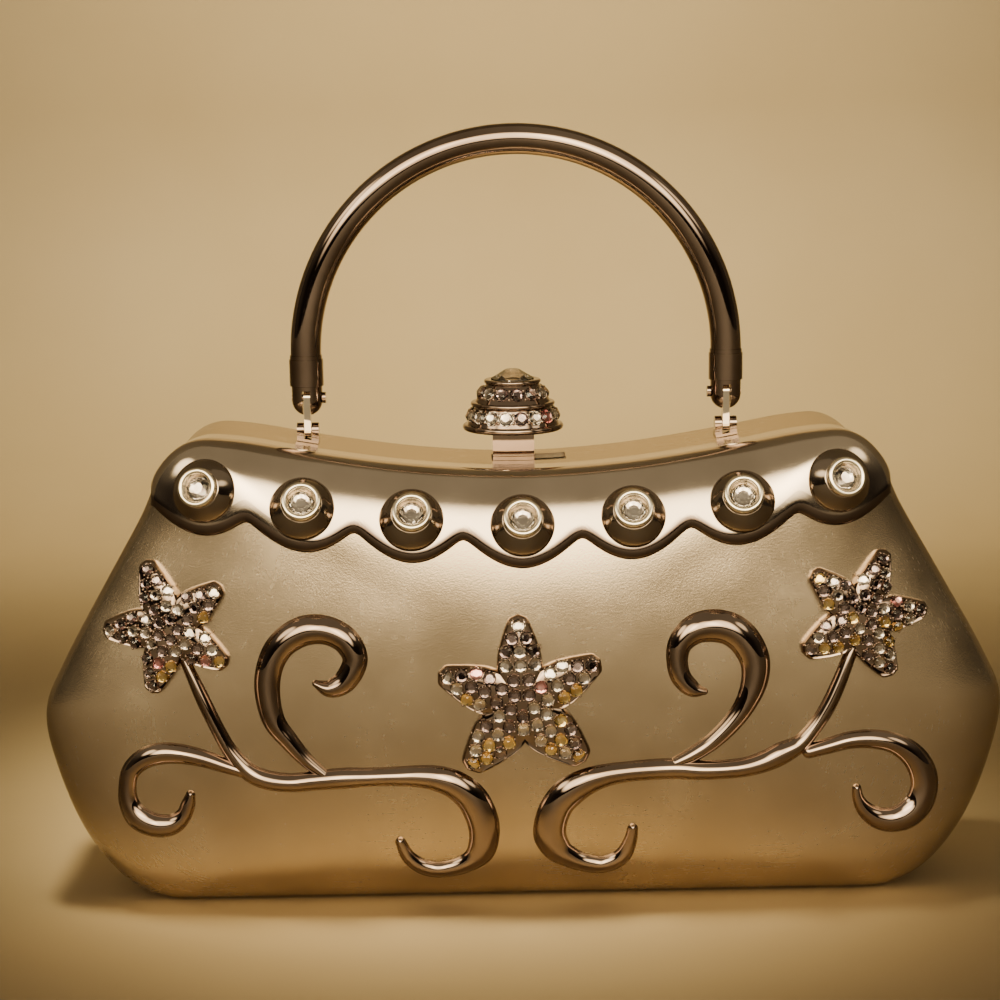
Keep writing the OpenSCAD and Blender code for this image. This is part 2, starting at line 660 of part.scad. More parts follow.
module at_boss(place) {
    translate(place[0]) rotate([0, acos(place[1][2]), atan2(place[1][1], place[1][0])]) children();
}

module boss() {
    slope = (boss_r - bezel_r) / 3;
    hull() {
        translate([0, 0, -2 * border_t]) cylinder(r = boss_r, h = seat_gap, $fn = 20);
        translate([0, 0, boss_h / 4]) cylinder(r = boss_r - slope / 2, h = seat_gap, $fn = 20);
    }
    hull() {
        translate([0, 0, boss_h / 4]) cylinder(r = boss_r - slope / 2, h = seat_gap, $fn = 20);
        translate([0, 0, boss_h * 3 / 4]) cylinder(r = boss_r - 2 * slope, h = seat_gap, $fn = 20);
        translate([0, 0, boss_h - seat_gap]) cylinder(r = bezel_r + seat_gap, h = seat_gap, $fn = 20);
    }
}

module scallop_border() {
    color("lightgray") difference() {
        union() {
            border_strip();
            for (p = boss_places) at_boss(p) boss();
        }
        front_block(seat_gap);
    }
}

module bezel_cups() {
    cup = bezel_r - bezel_wall;
    floor_h = bezel_h - bezel_stone_h - seat_gap;
    color("gainsboro") for (p = boss_places) at_boss(p) translate([0, 0, boss_h + seat_gap / 2])
        rotate_extrude($fn = 36) polygon([
            [0, 0], [bezel_r, 0], [bezel_r, bezel_h - bezel_wall / 2], [bezel_r - bezel_wall / 2, bezel_h],
            [cup, bezel_h - bezel_wall / 4], [bezel_stone_r + seat_gap, floor_h], [0, floor_h]
        ]);
}

// A round crystal that tapers to its table
module crystal(r, h) {
    cylinder(r1 = r, r2 = r * table_share, h = h, $fn = 16);
}

module bezel_crystals() {
    floor_h = bezel_h - bezel_stone_h - seat_gap;
    color("white") for (p = boss_places) at_boss(p) translate([0, 0, boss_h + floor_h + seat_gap])
        crystal(bezel_stone_r, bezel_stone_h);
}

// Scrolls

function scroll_line(shares, side) = let (
    raw = [for (p = shares) [side * p[0] * case_w / 2, p[1] * case_h, p[2] * scroll_w]], n = len(raw)
) [
    for (i = [0:n - 2]) for (j = [0:scroll_steps - (i < n - 2 ? 1 : 0)])
        spline(raw[max(i - 1, 0)], raw[i], raw[i + 1], raw[min(i + 2, n - 1)], j / scroll_steps)
];
function scroll_height(w) = scroll_h * pow(w / scroll_w, scroll_power);

module stroke(shares, side) {
    line = scroll_line(shares, side);
    n = len(line);
    m = len(scroll_section_shares);
    rows = [for (i = [0:n - 1]) let (
        ahead = line[min(i + 1, n - 1)] - line[max(i - 1, 0)], across = unit([ahead[1], -ahead[0]]),
        w = line[i][2], h = scroll_height(w)
    ) [for (s = scroll_section_shares) face_point(
        line[i][0] + across[0] * s[0] * w / 2, line[i][1] + across[1] * s[0] * w / 2,
        max(2 * seat_gap, s[1] * h)
    )]];
    faces = concat(
        [for (r = [0:n - 2]) each row_faces(r * m, (r + 1) * m, m, true)],
        end_faces(0, m, true), end_faces((n - 1) * m, m, false)
    );
    polyhedron([for (r = rows) each r], faces, convexity = 8);
}

// A rounded end of a stroke, stepped in like its section
module stroke_end(p, side) {
    r = end_bead_share * p[2] * scroll_w / 2;
    tall = scroll_height(2 * r);
    steps = [
        for (s = scroll_section_shares) if (s[0] <= 0 && s[1] < 1) [-s[0] * r, max(3 * seat_gap, s[1] * tall)]
    ];
    x = side * p[0] * case_w / 2;
    z = p[1] * case_h;
    lean = face_normal(x, z, r);
    translate(face_point(x, z, 0)) rotate([0, acos(lean[2]), atan2(lean[1], lean[0])])
        for (i = [0:len(steps) - 2]) hull() for (q = [steps[i], steps[i + 1]])
            translate([0, 0, q[1] - seat_gap]) cylinder(r = q[0], h = seat_gap, $fn = 12);
}

module scroll(strokes, side) {
    difference() {
        union() {
            for (s = strokes) {
                stroke(s, side);
                stroke_end(s[0], side);
                stroke_end(s[len(s) - 1], side);
            }
        }
        star_room(side);
        star_room(0);
    }
}

module scroll_left() {
    color("lightgray") scroll([spiral_left_shares, stem_left_shares, curl_left_shares], -1);
}

module scroll_right() {
    color("lightgray") scroll([spiral_right_shares, stem_right_shares, curl_right_shares], 1);
}

// Stars, where side is -1 for the left one, 0 for the middle one and 1 for the right one

function star_size(side) = side == 0 ? star_r : side_star_r;
function star_place(side) = side == 0
    ? [relief_shift + star_shift, star_z_share * case_h]
    : [relief_shift + side * side_star_x_share * case_w / 2, side_star_z_share * case_h];
function direction(angle) = [cos(angle), sin(angle)];

// A star's upright arm, and the angles from it to all arms; arms are counted, and a half is a notch
arm_step = 360 / star_arms;
function star_upright(side) = 90 - side * side_star_turn + star_arm_turns[side + 1][0];
function star_spans(side) = let (turns = star_arm_turns[side + 1]) [
    for (k = [0:star_arms]) [k, arm_step * k + (k < star_arms ? turns[k] - turns[0] : 0)]
];
function star_dir(side, count) = direction(star_upright(side) + lookup(count, star_spans(side)));
function star_count(side, d) = let (angle = atan2(d[1], d[0]) - star_upright(side))
    lookup(angle - 360 * floor(angle / 360), [for (s = star_spans(side)) [s[1], s[0]]]);
function star_edge(side, count) = let (part = count - floor(count))
    star_size(side) * lookup(arm_step * min(part, 1 - part), star_edge_shares);
function star_rise(side, x, z) = let (d = [x, z] - star_place(side))
    star_h * lookup(norm(d) / star_edge(side, star_count(side, d)), star_top_shares);
star_counts = [for (arm = [0:star_arms - 1]) each [
    for (i = [0:len(star_edge_shares) - 1]) arm + star_edge_shares[i][0] / arm_step,
    for (i = [len(star_edge_shares) - 2:-1:1]) arm + 1 - star_edge_shares[i][0] / arm_step
]];

// One ring of a star's body at a share of its radius, a height above the face, made larger by a margin
function star_ring(side, share, height, margin) = [for (i = [len(star_counts) - 1:-1:0]) let (
    reach = share * star_edge(side, star_counts[i]) + margin,
    p = star_place(side) + star_dir(side, star_counts[i]) * reach
) face_point(p[0], p[1], height)];

module star_solid(side, low, high_share, margin) {
    out = [for (i = [len(star_top_shares) - 1:-1:1]) star_top_shares[i]];
    rows = concat(
        [for (i = [1:len(star_top_shares) - 1]) star_ring(side, star_top_shares[i][0], low, margin)],
        [for (s = out) star_ring(side, s[0], s[1] * star_h * high_share, margin)]
    );
    n = len(star_counts);
    c = star_place(side);
    tip = len(rows) * n;
    points = concat(
        [for (r = rows) each r],
        [face_point(c[0], c[1], low), face_point(c[0], c[1], star_h * high_share)]
    );
    faces = concat(
        [for (r = [0:len(rows) - 2]) each row_faces(r * n, (r + 1) * n, n, false)],
        fan_faces((len(rows) - 1) * n, tip + 1, n, false), fan_faces(0, tip, n, true)
    );
    polyhedron(points, faces, convexity = 6);
}

module star(side) {
    star_solid(side, seat_gap, 1, 0);
}

// The room that a star takes among the scrolls, a clearance larger all round
module star_room(side) {
    star_solid(side, -scroll_h, 2 * scroll_h / star_h, seat_gap);
}

module star_left() {
    color("gray") star(-1);
}

module star_centre() {
    color("gray") star(0);
}

module star_right() {
    color("gray") star(1);
}

// Places of the crystals on a star, in the plane of the face
function star_stones(side, r, rows, rings) = concat(
    [for (arm = [0:star_arms - 1]) for (row = rows) for (i = [0:row[1] - 1]) let (
        u = star_dir(side, arm), v = [-u[1], u[0]], off = (i - (row[1] - 1) / 2) * 2 * r * row[2]
    ) star_place(side) + u * row[0] * star_size(side) + v * off],
    [for (q = rings) for (i = [0:q[1] - 1]) star_place(side)
        + direction(star_upright(side) + 360 / q[1] * (i + 1 / 2)) * q[0] * star_size(side)]
);

function star_top(side, x, z) = face_y(x, z) + star_rise(side, x, z);
function star_lean(side, x, z, span) = unit([
    (star_top(side, x - span, z) - star_top(side, x + span, z)) / (2 * span), -1,
    (star_top(side, x, z - span) - star_top(side, x, z + span)) / (2 * span)
]);

module star_crystals(side, r, rows, rings) {
    for (p = star_stones(side, r, rows, rings)) {
        lean = star_lean(side, p[0], p[1], r * 2 / 3);
        translate([p[0], -star_top(side, p[0], p[1]), p[1]] + 3 / 2 * seat_gap * lean)
            rotate([0, acos(lean[2]), atan2(lean[1], lean[0])]) crystal(r, stone_h);
    }
}

module star_left_crystals() {
    color("white") star_crystals(-1, side_stone_r, side_row_shares, side_ring_shares);
}

module star_centre_crystals() {
    color("white") star_crystals(0, stone_r, star_row_shares, star_ring_shares);
}

module star_right_crystals() {
    color("white") star_crystals(1, side_stone_r, side_row_shares, side_ring_shares);
}

// Clasp

module striker() {
    color("gainsboro") translate([knob_x - stem_w / 2, -frame_depth, slide_z - tongue_t])
        cube([stem_w, frame_t, tongue_top + seat_gap / 2 - slide_z + tongue_t]);
}

// The channel that holds the sliding block up against the back shell, open in front for the tongue
module clasp_guide() {
    room = 2 * knob_screw_r + slot_gap;
    inside = guide_z + guide_wall;
    color("gainsboro") difference() {
        translate([guide_x0, guide_y0, guide_z])
            cube([guide_x1 - guide_x0, guide_y1 - guide_y0, slide_top + seat_gap - guide_z]);
        translate([guide_x0 + guide_wall, guide_y0 + guide_wall, inside])
            cube([guide_x1 - guide_x0 - 2 * guide_wall, guide_y1 - guide_y0 - 2 * guide_wall, case_h]);
        translate([slot_x0, guide_y0 - overrun, inside])
            cube([slot_x1 - slot_x0, guide_wall + 2 * overrun, case_h]);
        translate([guide_x0 - overrun, guide_y0 - overrun, tongue_top])
            cube([guide_x1 - guide_x0 + 2 * overrun, frame_depth + seat_gap - guide_y0 + overrun, case_h]);
        translate([knob_x, carry_y, guide_z - overrun]) {
            cylinder(r = room, h = guide_wall + 2 * overrun, $fn = 32);
            translate([clasp_travel, 0, 0]) cylinder(r = room, h = guide_wall + 2 * overrun, $fn = 32);
            translate([0, -room, 0]) cube([clasp_travel, 2 * room, guide_wall + 2 * overrun]);
        }
    }
}

module clasp_slide() {
    color("gainsboro") difference() {
        union() {
            translate([slide_x0, slide_y0, slide_z])
                cube([slide_x1 - slide_x0, slide_y1 - slide_y0, slide_top - slide_z]);
            translate([knob_x - stem_w / 2, -frame_depth / 2, slide_z])
                cube([stem_w, slide_mid_y + frame_depth / 2, tongue_t]);
        }
        translate([knob_x, carry_y, slide_z - overrun])
            cylinder(r = knob_screw_r + pin_gap, h = slide_top - slide_z + 2 * overrun, $fn = 32);
    }
}

// One unbroken wire along X, with its curls from a formula
function spring_point(t) = let (turn = 360 * spring_curls * t) [
    slide_x1 + seat_gap + spring_wire_r + (spring_l - 2 * spring_wire_r) * t,
    slide_mid_y + (spring_r - spring_wire_r) * cos(turn),
    slide_top - seat_gap - spring_r + (spring_r - spring_wire_r) * sin(turn)
];
spring_rings = 8 * spring_curls;
spring_sides = 6;
spring_gap = (spring_l - 2 * spring_wire_r) / spring_curls - 2 * spring_wire_r;

module clasp_spring() {
    echo(least_gap_between_curls = spring_gap);
    rows = [for (i = [0:spring_rings]) let (
        p = spring_point(i / spring_rings), turn = 360 * spring_curls * i / spring_rings,
        out = [0, cos(turn), sin(turn)]
    ) [for (k = [0:spring_sides - 1]) let (a = 360 / spring_sides * k)
        p + spring_wire_r * (cos(a) * out + sin(a) * [1, 0, 0])]];
    m = spring_sides;
    faces = concat(
        [for (r = [0:spring_rings - 1]) each row_faces(r * m, (r + 1) * m, m, false)],
        end_faces(0, m, false), end_faces(spring_rings * m, m, true)
    );
    color("silver") polyhedron([for (r = rows) each r], faces, convexity = 10);
}

module knob_screw() {
    color("silver") translate([knob_x, carry_y, 0]) {
        translate([0, 0, slide_z - seat_gap / 2 - guide_wall])
            cylinder(r = 2 * knob_screw_r, h = guide_wall, $fn = 32);
        translate([0, 0, slide_z - seat_gap]) cylinder(r = knob_screw_r, h = knob_z - slide_z, $fn = 32);
    }
}

module knob_stem() {
    color("lightgray") translate([knob_x, carry_y, 0]) difference() {
        union() {
            translate([-stem_w / 2, -stem_d / 2, slide_top]) cube([stem_w, stem_d, knob_z - slide_top]);
            translate([0, 0, knob_z]) cylinder(r = stem_w / 2, h = tier_h, $fn = 32);
        }
        translate([0, 0, slide_top - overrun])
            cylinder(r = knob_screw_r + pin_gap, h = knob_z - slide_top + 2 * overrun, $fn = 32);
    }
}

// Heights of the knob's steps above its underside
lower_tier = flange_t;
mid_ring = lower_tier + tier_h;
upper_tier = mid_ring + ring_t;
top_ring = upper_tier + tier_h;
knob_top = top_ring + ring_t;

module knob_dome() {
    color("lightgray") translate([knob_x, carry_y, knob_z]) difference() {
        rotate_extrude($fn = 48) polygon([
            [0, 0], [flange_r - ring_t / 2, 0], [flange_r, flange_t / 2], [flange_r - ring_t / 2, flange_t],
            [flange_r - ring_t, flange_t],
            [mid_ring_r - ring_t, mid_ring], [mid_ring_r, mid_ring + ring_t / 2],
            [mid_ring_r - ring_t / 2, upper_tier], [mid_ring_r - ring_t, upper_tier],
            [top_ring_r - ring_t, top_ring],
            [top_ring_r, top_ring + ring_t / 2], [top_ring_r - ring_t / 2, knob_top], [0, knob_top]
        ]);
        translate([0, 0, -overrun])
            cylinder(r = stem_w / 2 + pin_gap, h = tier_h + pin_gap + overrun, $fn = 32);
    }
}

// A row of crystals round the knob, on the cone between two radii
module knob_row(count, r0, z0, r1, z1) {
    slope = atan2(r0 - r1, z1 - z0);
    for (i = [0:count - 1]) rotate([0, 0, 360 / count * i]) translate([(r0 + r1) / 2, 0, (z0 + z1) / 2])
        rotate([0, 90 - slope, 0]) translate([0, 0, seat_gap]) crystal(knob_stone_r, stone_h);
}

module knob_lower_crystals() {
    color("white") translate([knob_x, carry_y, knob_z])
        knob_row(lower_stones, flange_r - ring_t, flange_t, mid_ring_r - ring_t, mid_ring);
}

module knob_upper_crystals() {
    color("white") translate([knob_x, carry_y, knob_z])
        knob_row(upper_stones, mid_ring_r - ring_t, upper_tier, top_ring_r - ring_t, top_ring);
}

module knob_crown_crystal() {
    color("white") translate([knob_x, carry_y, knob_z + knob_top + seat_gap / 2])
        rotate_extrude($fn = 24) polygon([
            [0, 0], [crown_r - crown_h / 4, 0], [crown_r, crown_h / 4],
            [crown_r * table_share, crown_h * 3 / 4], [0, crown_h]
        ]);
}

// Handle, where side is -1 on the left and 1 on the right

// A flat ear across X with a round end at the pin, from a height up or down to it
module ear(t, r, from_z, to_z) {
    translate([-t / 2, -r, min(from_z, to_z)]) cube([t, 2 * r, abs(to_z - from_z)]);
    translate([-t / 2, 0, to_z]) rotate([0, 90, 0]) cylinder(r = r, h = t, $fn = 32);
}

module cross_hole(r, reach) {
    translate([-reach, 0, 0]) rotate([0, 90, 0]) cylinder(r = r, h = 2 * reach, $fn = 32);
}

module lug(side) {
    x = hoop_x + side * hoop_r;
    z = outline_height(x) + seat_gap;
    half = link_t / 2 + link_gap + ear_t;
    slope = atan2(outline_height(x + half) - outline_height(x - half), 2 * half);
    ear_x = link_t / 2 + link_gap + ear_t / 2;
    translate([x, carry_y, 0]) difference() {
        union() {
            translate([0, 0, z]) rotate([0, -slope, 0]) translate([-half, -link_r - ear_t, 0])
                cube([2 * half, 2 * (link_r + ear_t), foot_t]);
            for (s = [-1, 1]) translate([s * ear_x, 0, 0])
                ear(ear_t, link_r, z + foot_t / 2 + side * s * foot_t / 2, lug_z);
        }
        translate([0, 0, lug_z]) cross_hole(pin_r + pin_gap / 2, case_w);
    }
}

module lug_left() {
    color("gray") lug(-1);
}

module lug_right() {
    color("gray") lug(1);
}

module lug_pins() {
    half = link_t / 2 + link_gap + ear_t;
    color("gainsboro") for (side = [-1, 1])
        translate([hoop_x + side * hoop_r, carry_y, lug_z]) cross_hole(pin_r, half);
}

module link(side) {
    translate([hoop_x + side * hoop_r, carry_y, 0]) difference() {
        ear(link_t, link_r, lug_z, fork_pin_z);
        translate([0, 0, fork_pin_z]) cross_hole(pin_r + pin_gap, case_w);
        translate([0, 0, lug_z]) cross_hole(pin_r + pin_gap, case_w);
    }
    translate([hoop_x + side * hoop_r, carry_y, 0]) difference() {
        translate([-link_t / 2, 0, lug_z]) rotate([0, 90, 0]) cylinder(r = link_r, h = link_t, $fn = 32);
        translate([0, 0, lug_z]) cross_hole(pin_r + pin_gap, case_w);
    }
}

module link_left() {
    color("gainsboro") link(-1);
}

module link_right() {
    color("gainsboro") link(1);
}

// A rounded fork that stands on the link, with its slot open downwards
module fork(side) {
    slot = link_t + 2 * link_gap;
    translate([hoop_x + side * hoop_r, carry_y, 0]) difference() {
        intersection() {
            translate([0, 0, fork_z + fork_r]) union() {
                sphere(r = fork_r, $fn = 32);
                cylinder(r = fork_r, h = fork_l - fork_r, $fn = 32);
            }
            translate([-fork_r, -fork_r, fork_z]) cube([2 * fork_r, 2 * fork_r, fork_l]);
        }
        translate([-slot / 2, -fork_r - overrun, fork_z - overrun])
            cube([slot, 2 * (fork_r + overrun), fork_drop + fork_r + link_r + link_gap + overrun]);
        translate([0, 0, fork_pin_z]) cross_hole(pin_r + pin_gap / 2, case_w);
    }
}

module fork_left() {
    color("silver") fork(-1);
}

module fork_right() {
    color("silver") fork(1);
}

// Pins of the forks, each with a round head on the side that faces the bag's middle
module fork_pins() {
    color("gainsboro") for (side = [-1, 1]) translate([hoop_x + side * hoop_r, carry_y, fork_pin_z]) {
        cross_hole(pin_r, fork_r);
        translate([-side * (fork_r + pin_r / 2), 0, 0]) rotate([0, 90, 0])
            cylinder(r = 1.6 * pin_r, h = pin_r, center = true, $fn = 32);
    }
}

module ferrule(side) {
    bead = ferrule_r - (ferrule_r - tube_r) / 2;
    translate([hoop_x + side * hoop_r, carry_y, ferrule_z]) difference() {
        rotate_extrude($fn = 48) polygon([
            [0, 0], [ferrule_r - pin_gap, 0], [ferrule_r, pin_gap], [ferrule_r, ferrule_l - tube_wall],
            [bead, ferrule_l - tube_wall], [bead, ferrule_l], [0, ferrule_l]
        ]);
        translate([0, 0, ferrule_l - tube_seat])
            cylinder(r = tube_r + pin_gap / 2, h = tube_seat + overrun, $fn = 48);
    }
}

module ferrule_left() {
    color("gray") ferrule(-1);
}

module ferrule_right() {
    color("gray") ferrule(1);
}

module tube_section() {
    difference() {
        circle(r = tube_r, $fn = 32);
        circle(r = tube_r - tube_wall, $fn = 32);
    }
}

module handle_tube() {
    color("silver") translate([hoop_x, carry_y, hoop_z]) {
        rotate([90, 0, 0]) rotate_extrude(angle = 180, $fn = 96) translate([hoop_r, 0]) tube_section();
        for (side = [-1, 1]) translate([side * hoop_r, 0, -tube_seat + pin_gap])
            linear_extrude(tube_seat - pin_gap) tube_section();
    }
}

front_shell();
front_frame();
front_lining();
back_shell();
back_frame();
back_lining();
hinge_leaf_front();
hinge_leaf_back();
hinge_pin();
scallop_border();
bezel_cups();
bezel_crystals();
scroll_left();
scroll_right();
star_left();
star_centre();
star_right();
star_left_crystals();
star_centre_crystals();
star_right_crystals();
striker();
clasp_guide();
clasp_slide();
clasp_spring();
knob_screw();
knob_stem();
knob_dome();
knob_lower_crystals();
knob_upper_crystals();
knob_crown_crystal();
lug_left();
lug_right();
lug_pins();
link_left();
link_right();
fork_left();
fork_right();
fork_pins();
ferrule_left();
ferrule_right();
handle_tube();
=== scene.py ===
# Looks of the minaudiere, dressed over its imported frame. Lengths are in millimetres until a mesh is made.
import math

import bmesh
import bpy
import numpy as np
from mathutils import Matrix, Vector


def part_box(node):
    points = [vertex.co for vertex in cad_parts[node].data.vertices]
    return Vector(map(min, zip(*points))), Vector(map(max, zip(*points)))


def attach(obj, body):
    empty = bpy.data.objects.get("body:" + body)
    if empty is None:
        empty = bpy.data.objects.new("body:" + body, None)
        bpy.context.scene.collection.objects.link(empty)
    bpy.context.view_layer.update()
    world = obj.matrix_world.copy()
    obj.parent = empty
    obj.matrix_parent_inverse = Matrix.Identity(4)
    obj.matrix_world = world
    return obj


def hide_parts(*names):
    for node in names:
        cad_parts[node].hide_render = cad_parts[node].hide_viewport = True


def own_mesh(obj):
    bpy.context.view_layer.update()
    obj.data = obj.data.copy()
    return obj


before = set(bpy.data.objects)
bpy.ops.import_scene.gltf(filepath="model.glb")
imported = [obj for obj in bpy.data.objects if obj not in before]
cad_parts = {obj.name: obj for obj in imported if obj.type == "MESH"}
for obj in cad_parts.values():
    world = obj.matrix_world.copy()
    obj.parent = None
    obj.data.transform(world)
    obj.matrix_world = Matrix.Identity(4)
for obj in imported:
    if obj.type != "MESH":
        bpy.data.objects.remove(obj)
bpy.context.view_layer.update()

MM = 0.001

# Case, as in the solids
CASE_W = 190
CASE_H = 93
CASE_MID_Z = 43
FRONT_DEPTH = 24
BACK_DEPTH = 28
FRONT_WALL = 11
BACK_WALL = 20
SHELL_T = 1
SEAM_GAP = 0.4
SEAT_GAP = 0.1
ROUND_ACROSS = 2.2
ROUND_DEEP = 2.2
OUTLINE_SHARES = [
    (0, 0.918), (0.21, 0.930), (0.42, 0.960), (0.59, 0.991), (0.675, 0.990), (0.737, 0.940),
    (0.784, 0.843), (0.869, 0.693), (0.958, 0.532), (1.0, 0.425), (0.982, 0.30), (0.932, 0.161),
    (0.857, 0.055), (0.775, 0.007), (0.69, 0.0), (0.53, 0.0),
]
TOP_Z = OUTLINE_SHARES[0][1] * CASE_H
OUTLINE_STEPS = 12

# Rows of a half's surface: shares of its straight wall, count over the rounding, and shares near the middle
WALL_SHARES = (0, 0.06, 0.3, 0.6, 0.85, 1)
DOME_ROWS = 20
MIDDLE_SHARES = [0.3, 0.22, 0.14, 0.06]

# Soft shading of the rounded faces: span of a slope, and where its two fades start and end
SLOPE_SPAN = 1.5
OVAL_START = 0.35
OVAL_FADE = 0.6
SOFT_END = 0.9
SOFT_FADE = 0.15

# Frames and linings
RIM_W = 1.1
RIM_PROUD = 0.16
FRAME_DEPTH = 4.5
FRAME_T = 1.4
LINING_T = 1
RIM_END = SEAM_GAP / 2 + RIM_W + SEAT_GAP
FRAME_REACH = 12
HINGE_Z = 1.65
HINGE_EDGE = 2.2

# Scalloped border and its bosses
BORDER_HALF = CASE_W / 2 - 23
BORDER_T = 1.4
BORDER_DROP = 11.4
SCALLOP_DROP = 16.3
BORDER_RISE = 7.2
SCALLOPS = 7
CUSP_SHARES = [0.158, 0.447, 0.733]
SCALLOP_POWER = 0.8
CUSP_ROUND = 0.16
RISE_POWER = 1.4
SCALLOP_FADE = 0.3
END_FADE = 0.5
END_POWER = 6
SEAM_FADE = 0.6
SCALLOP_STEPS = 30
BEVEL_W = 2.4
BEVEL_POWER = 2.2
BORDER_SINK = 0.05
FAR = 99.0
SEAM_ROLL = 0.03
SEAM_ROLL_SHARE = 0.8
END_ROLL = 1.2
# Painted dark reflection on the border: full along the bevel up to this share of its width, fading out over
# the next share, and its strength on the bosses
PAINTED_SHADE_START = 0.82
PAINTED_SHADE_FADE = 0.22
BOSS_PAINTED_SHADE = 0.6
BOSS_DROP = 8.4
BOSS_END_RISE = 1.8
BOSS_RISE_POWER = 2.6
BOSS_R = 6.2
BOSS_PLACE_SHARES = [0, 0.296, 0.585, 0.843]
BOSS_LEAN = 1
BOSS_DROOP = 1.5
BEZEL_R = 3.85
BEZEL_STONE_R = 2.15

# Rows of the border: over the case's side, down the face as shares, and above its lower edge
BORDER_WALL_ROWS = [0, 0.12, 0.3, 0.6, 1.4, 3, 5, 7, 8.6]
WALL_ROWS_END = 9.4
BORDER_FACE_SHARES = [
    0.0004, 0.002, 0.006, 0.013, 0.024, 0.04, 0.06, 0.09, 0.13, 0.18, 0.24, 0.31, 0.39, 0.48, 0.58, 0.68,
]
BORDER_EDGE_ROWS = [4.2, 3.4, 2.8, 2.35, 1.95, 1.6, 1.25, 0.95, 0.68, 0.45, 0.27, 0.13, 0.05, 0]
EDGE_ROOM = 1.02
LEAST_REACH = 0.3

# Stars, as side -1, 0 and 1: size, place, turn and the turns of the arms away from their even places
RELIEF_SHIFT = -1.6
SIDE_STAR_X = 0.705 * CASE_W / 2
SIDE_STAR_Z = 0.626 * CASE_H
STAR_R = {-1: 13.5, 0: 17.2, 1: 13.5}
STAR_PLACE = {-1: (RELIEF_SHIFT - SIDE_STAR_X, SIDE_STAR_Z), 0: (RELIEF_SHIFT + 1, 0.466 * CASE_H),
              1: (RELIEF_SHIFT + SIDE_STAR_X, SIDE_STAR_Z)}
STAR_TURN = {-1: -20, 0: 0, 1: 20}
ARM_TURNS = {-1: (-1.6, 3, -0.5, 1.8, 0), 0: (2, -2.5, -2.7, 9.3, 10.4), 1: (-1, -5, -5, 12, 4)}
STAR_H = 2.2
STAR_ARMS = 5
ARM_COLUMNS = 48
STAR_RIM_SHARE = 0.9
STAR_STONE_R = {-1: 1.15, 0: 1.3, 1: 1.15}
STONE_H = 0.8
STONE_LIFT = 0.15
STAR_BEAD_R = 0.26
BEAD_OUT = 0.12
BEAD_UP = 0.2
BEAD_GAP = 0.5
# How far down a stone faces before it gets the foils with the painted gold reflection
FACES_DOWN = -0.08
STAR_EDGE = [(0, 1), (7, 0.965), (13, 0.82), (20, 0.69), (28, 0.58), (36, 0.47)]
STAR_TOP = [(0, 1), (0.3, 0.97), (0.62, 0.86), (0.88, 0.62), (1, 0.3)]
STAR_ROWS = [(0.885, 1, 1), (0.745, 2, 1.02), (0.6, 3, 1.04), (0.445, 3, 1.04)]
SIDE_STAR_ROWS = [(0.865, 1, 1), (0.69, 2, 1.04), (0.51, 3, 1.04)]
STAR_SURFACE = [
    (1.0, -0.3), (1.0, 0.3), (0.985, 0.5), (0.95, 0.72), (0.88, 0.86), (0.8, 0.92), (0.62, 0.96), (0.4, 1.0),
    (0.15, 1.0),
]
STAR_RINGS = [(0.29, 11), (0.135, 5)]
SIDE_STAR_RINGS = [(0.327, 11), (0.152, 5)]

# Scrolls: shares of half the case's width and of its height, and the share of the scroll's full width
SCROLL_W = 6.6
SCROLL_H = 2.4
SCROLL_POWER = 0.6
SPIRAL_LEFT = [
    (0.424, 0.509, 0.24), (0.396, 0.499, 0.58), (0.364, 0.515, 0.71), (0.343, 0.559, 0.76),
    (0.361, 0.600, 0.84), (0.401, 0.622, 0.89), (0.447, 0.620, 0.92), (0.490, 0.593, 0.86),
    (0.515, 0.551, 0.81), (0.524, 0.496, 0.78), (0.513, 0.431, 0.7), (0.483, 0.386, 0.6),
    (0.450, 0.345, 0.48), (0.411, 0.311, 0.36),
]
STEM_LEFT = [
    (0.693, 0.559, 0.32), (0.674, 0.515, 0.4), (0.656, 0.472, 0.45), (0.626, 0.404, 0.46),
    (0.603, 0.360, 0.5), (0.570, 0.319, 0.6), (0.532, 0.300, 0.64), (0.481, 0.294, 0.62),
    (0.431, 0.299, 0.64), (0.371, 0.304, 0.68), (0.319, 0.306, 0.62), (0.268, 0.307, 0.64),
    (0.217, 0.306, 0.74), (0.176, 0.299, 0.86), (0.140, 0.282, 0.94), (0.110, 0.251, 0.99),
    (0.091, 0.204, 0.98), (0.088, 0.162, 0.92), (0.097, 0.125, 0.86), (0.120, 0.101, 0.71),
    (0.156, 0.085, 0.63), (0.192, 0.082, 0.6), (0.223, 0.094, 0.56), (0.247, 0.119, 0.46),
    (0.261, 0.154, 0.34),
]
CURL_LEFT = [
    (0.692, 0.264, 0.3), (0.698, 0.243, 0.44), (0.710, 0.216, 0.5), (0.735, 0.196, 0.7),
    (0.771, 0.192, 0.82), (0.805, 0.207, 0.86), (0.823, 0.239, 0.68), (0.825, 0.276, 0.57),
    (0.816, 0.312, 0.57), (0.790, 0.339, 0.64), (0.753, 0.354, 0.7), (0.710, 0.355, 0.66),
    (0.663, 0.346, 0.58), (0.618, 0.331, 0.5), (0.582, 0.319, 0.44),
]
SPIRAL_RIGHT = [
    (0.364, 0.479, 0.24), (0.341, 0.485, 0.52), (0.317, 0.511, 0.62), (0.309, 0.548, 0.66),
    (0.316, 0.583, 0.76), (0.343, 0.610, 0.92), (0.379, 0.618, 1), (0.418, 0.609, 1),
    (0.448, 0.583, 0.97), (0.468, 0.541, 0.91), (0.467, 0.496, 0.82), (0.449, 0.449, 0.68),
    (0.421, 0.409, 0.61), (0.383, 0.371, 0.55), (0.343, 0.344, 0.5), (0.307, 0.327, 0.38),
]
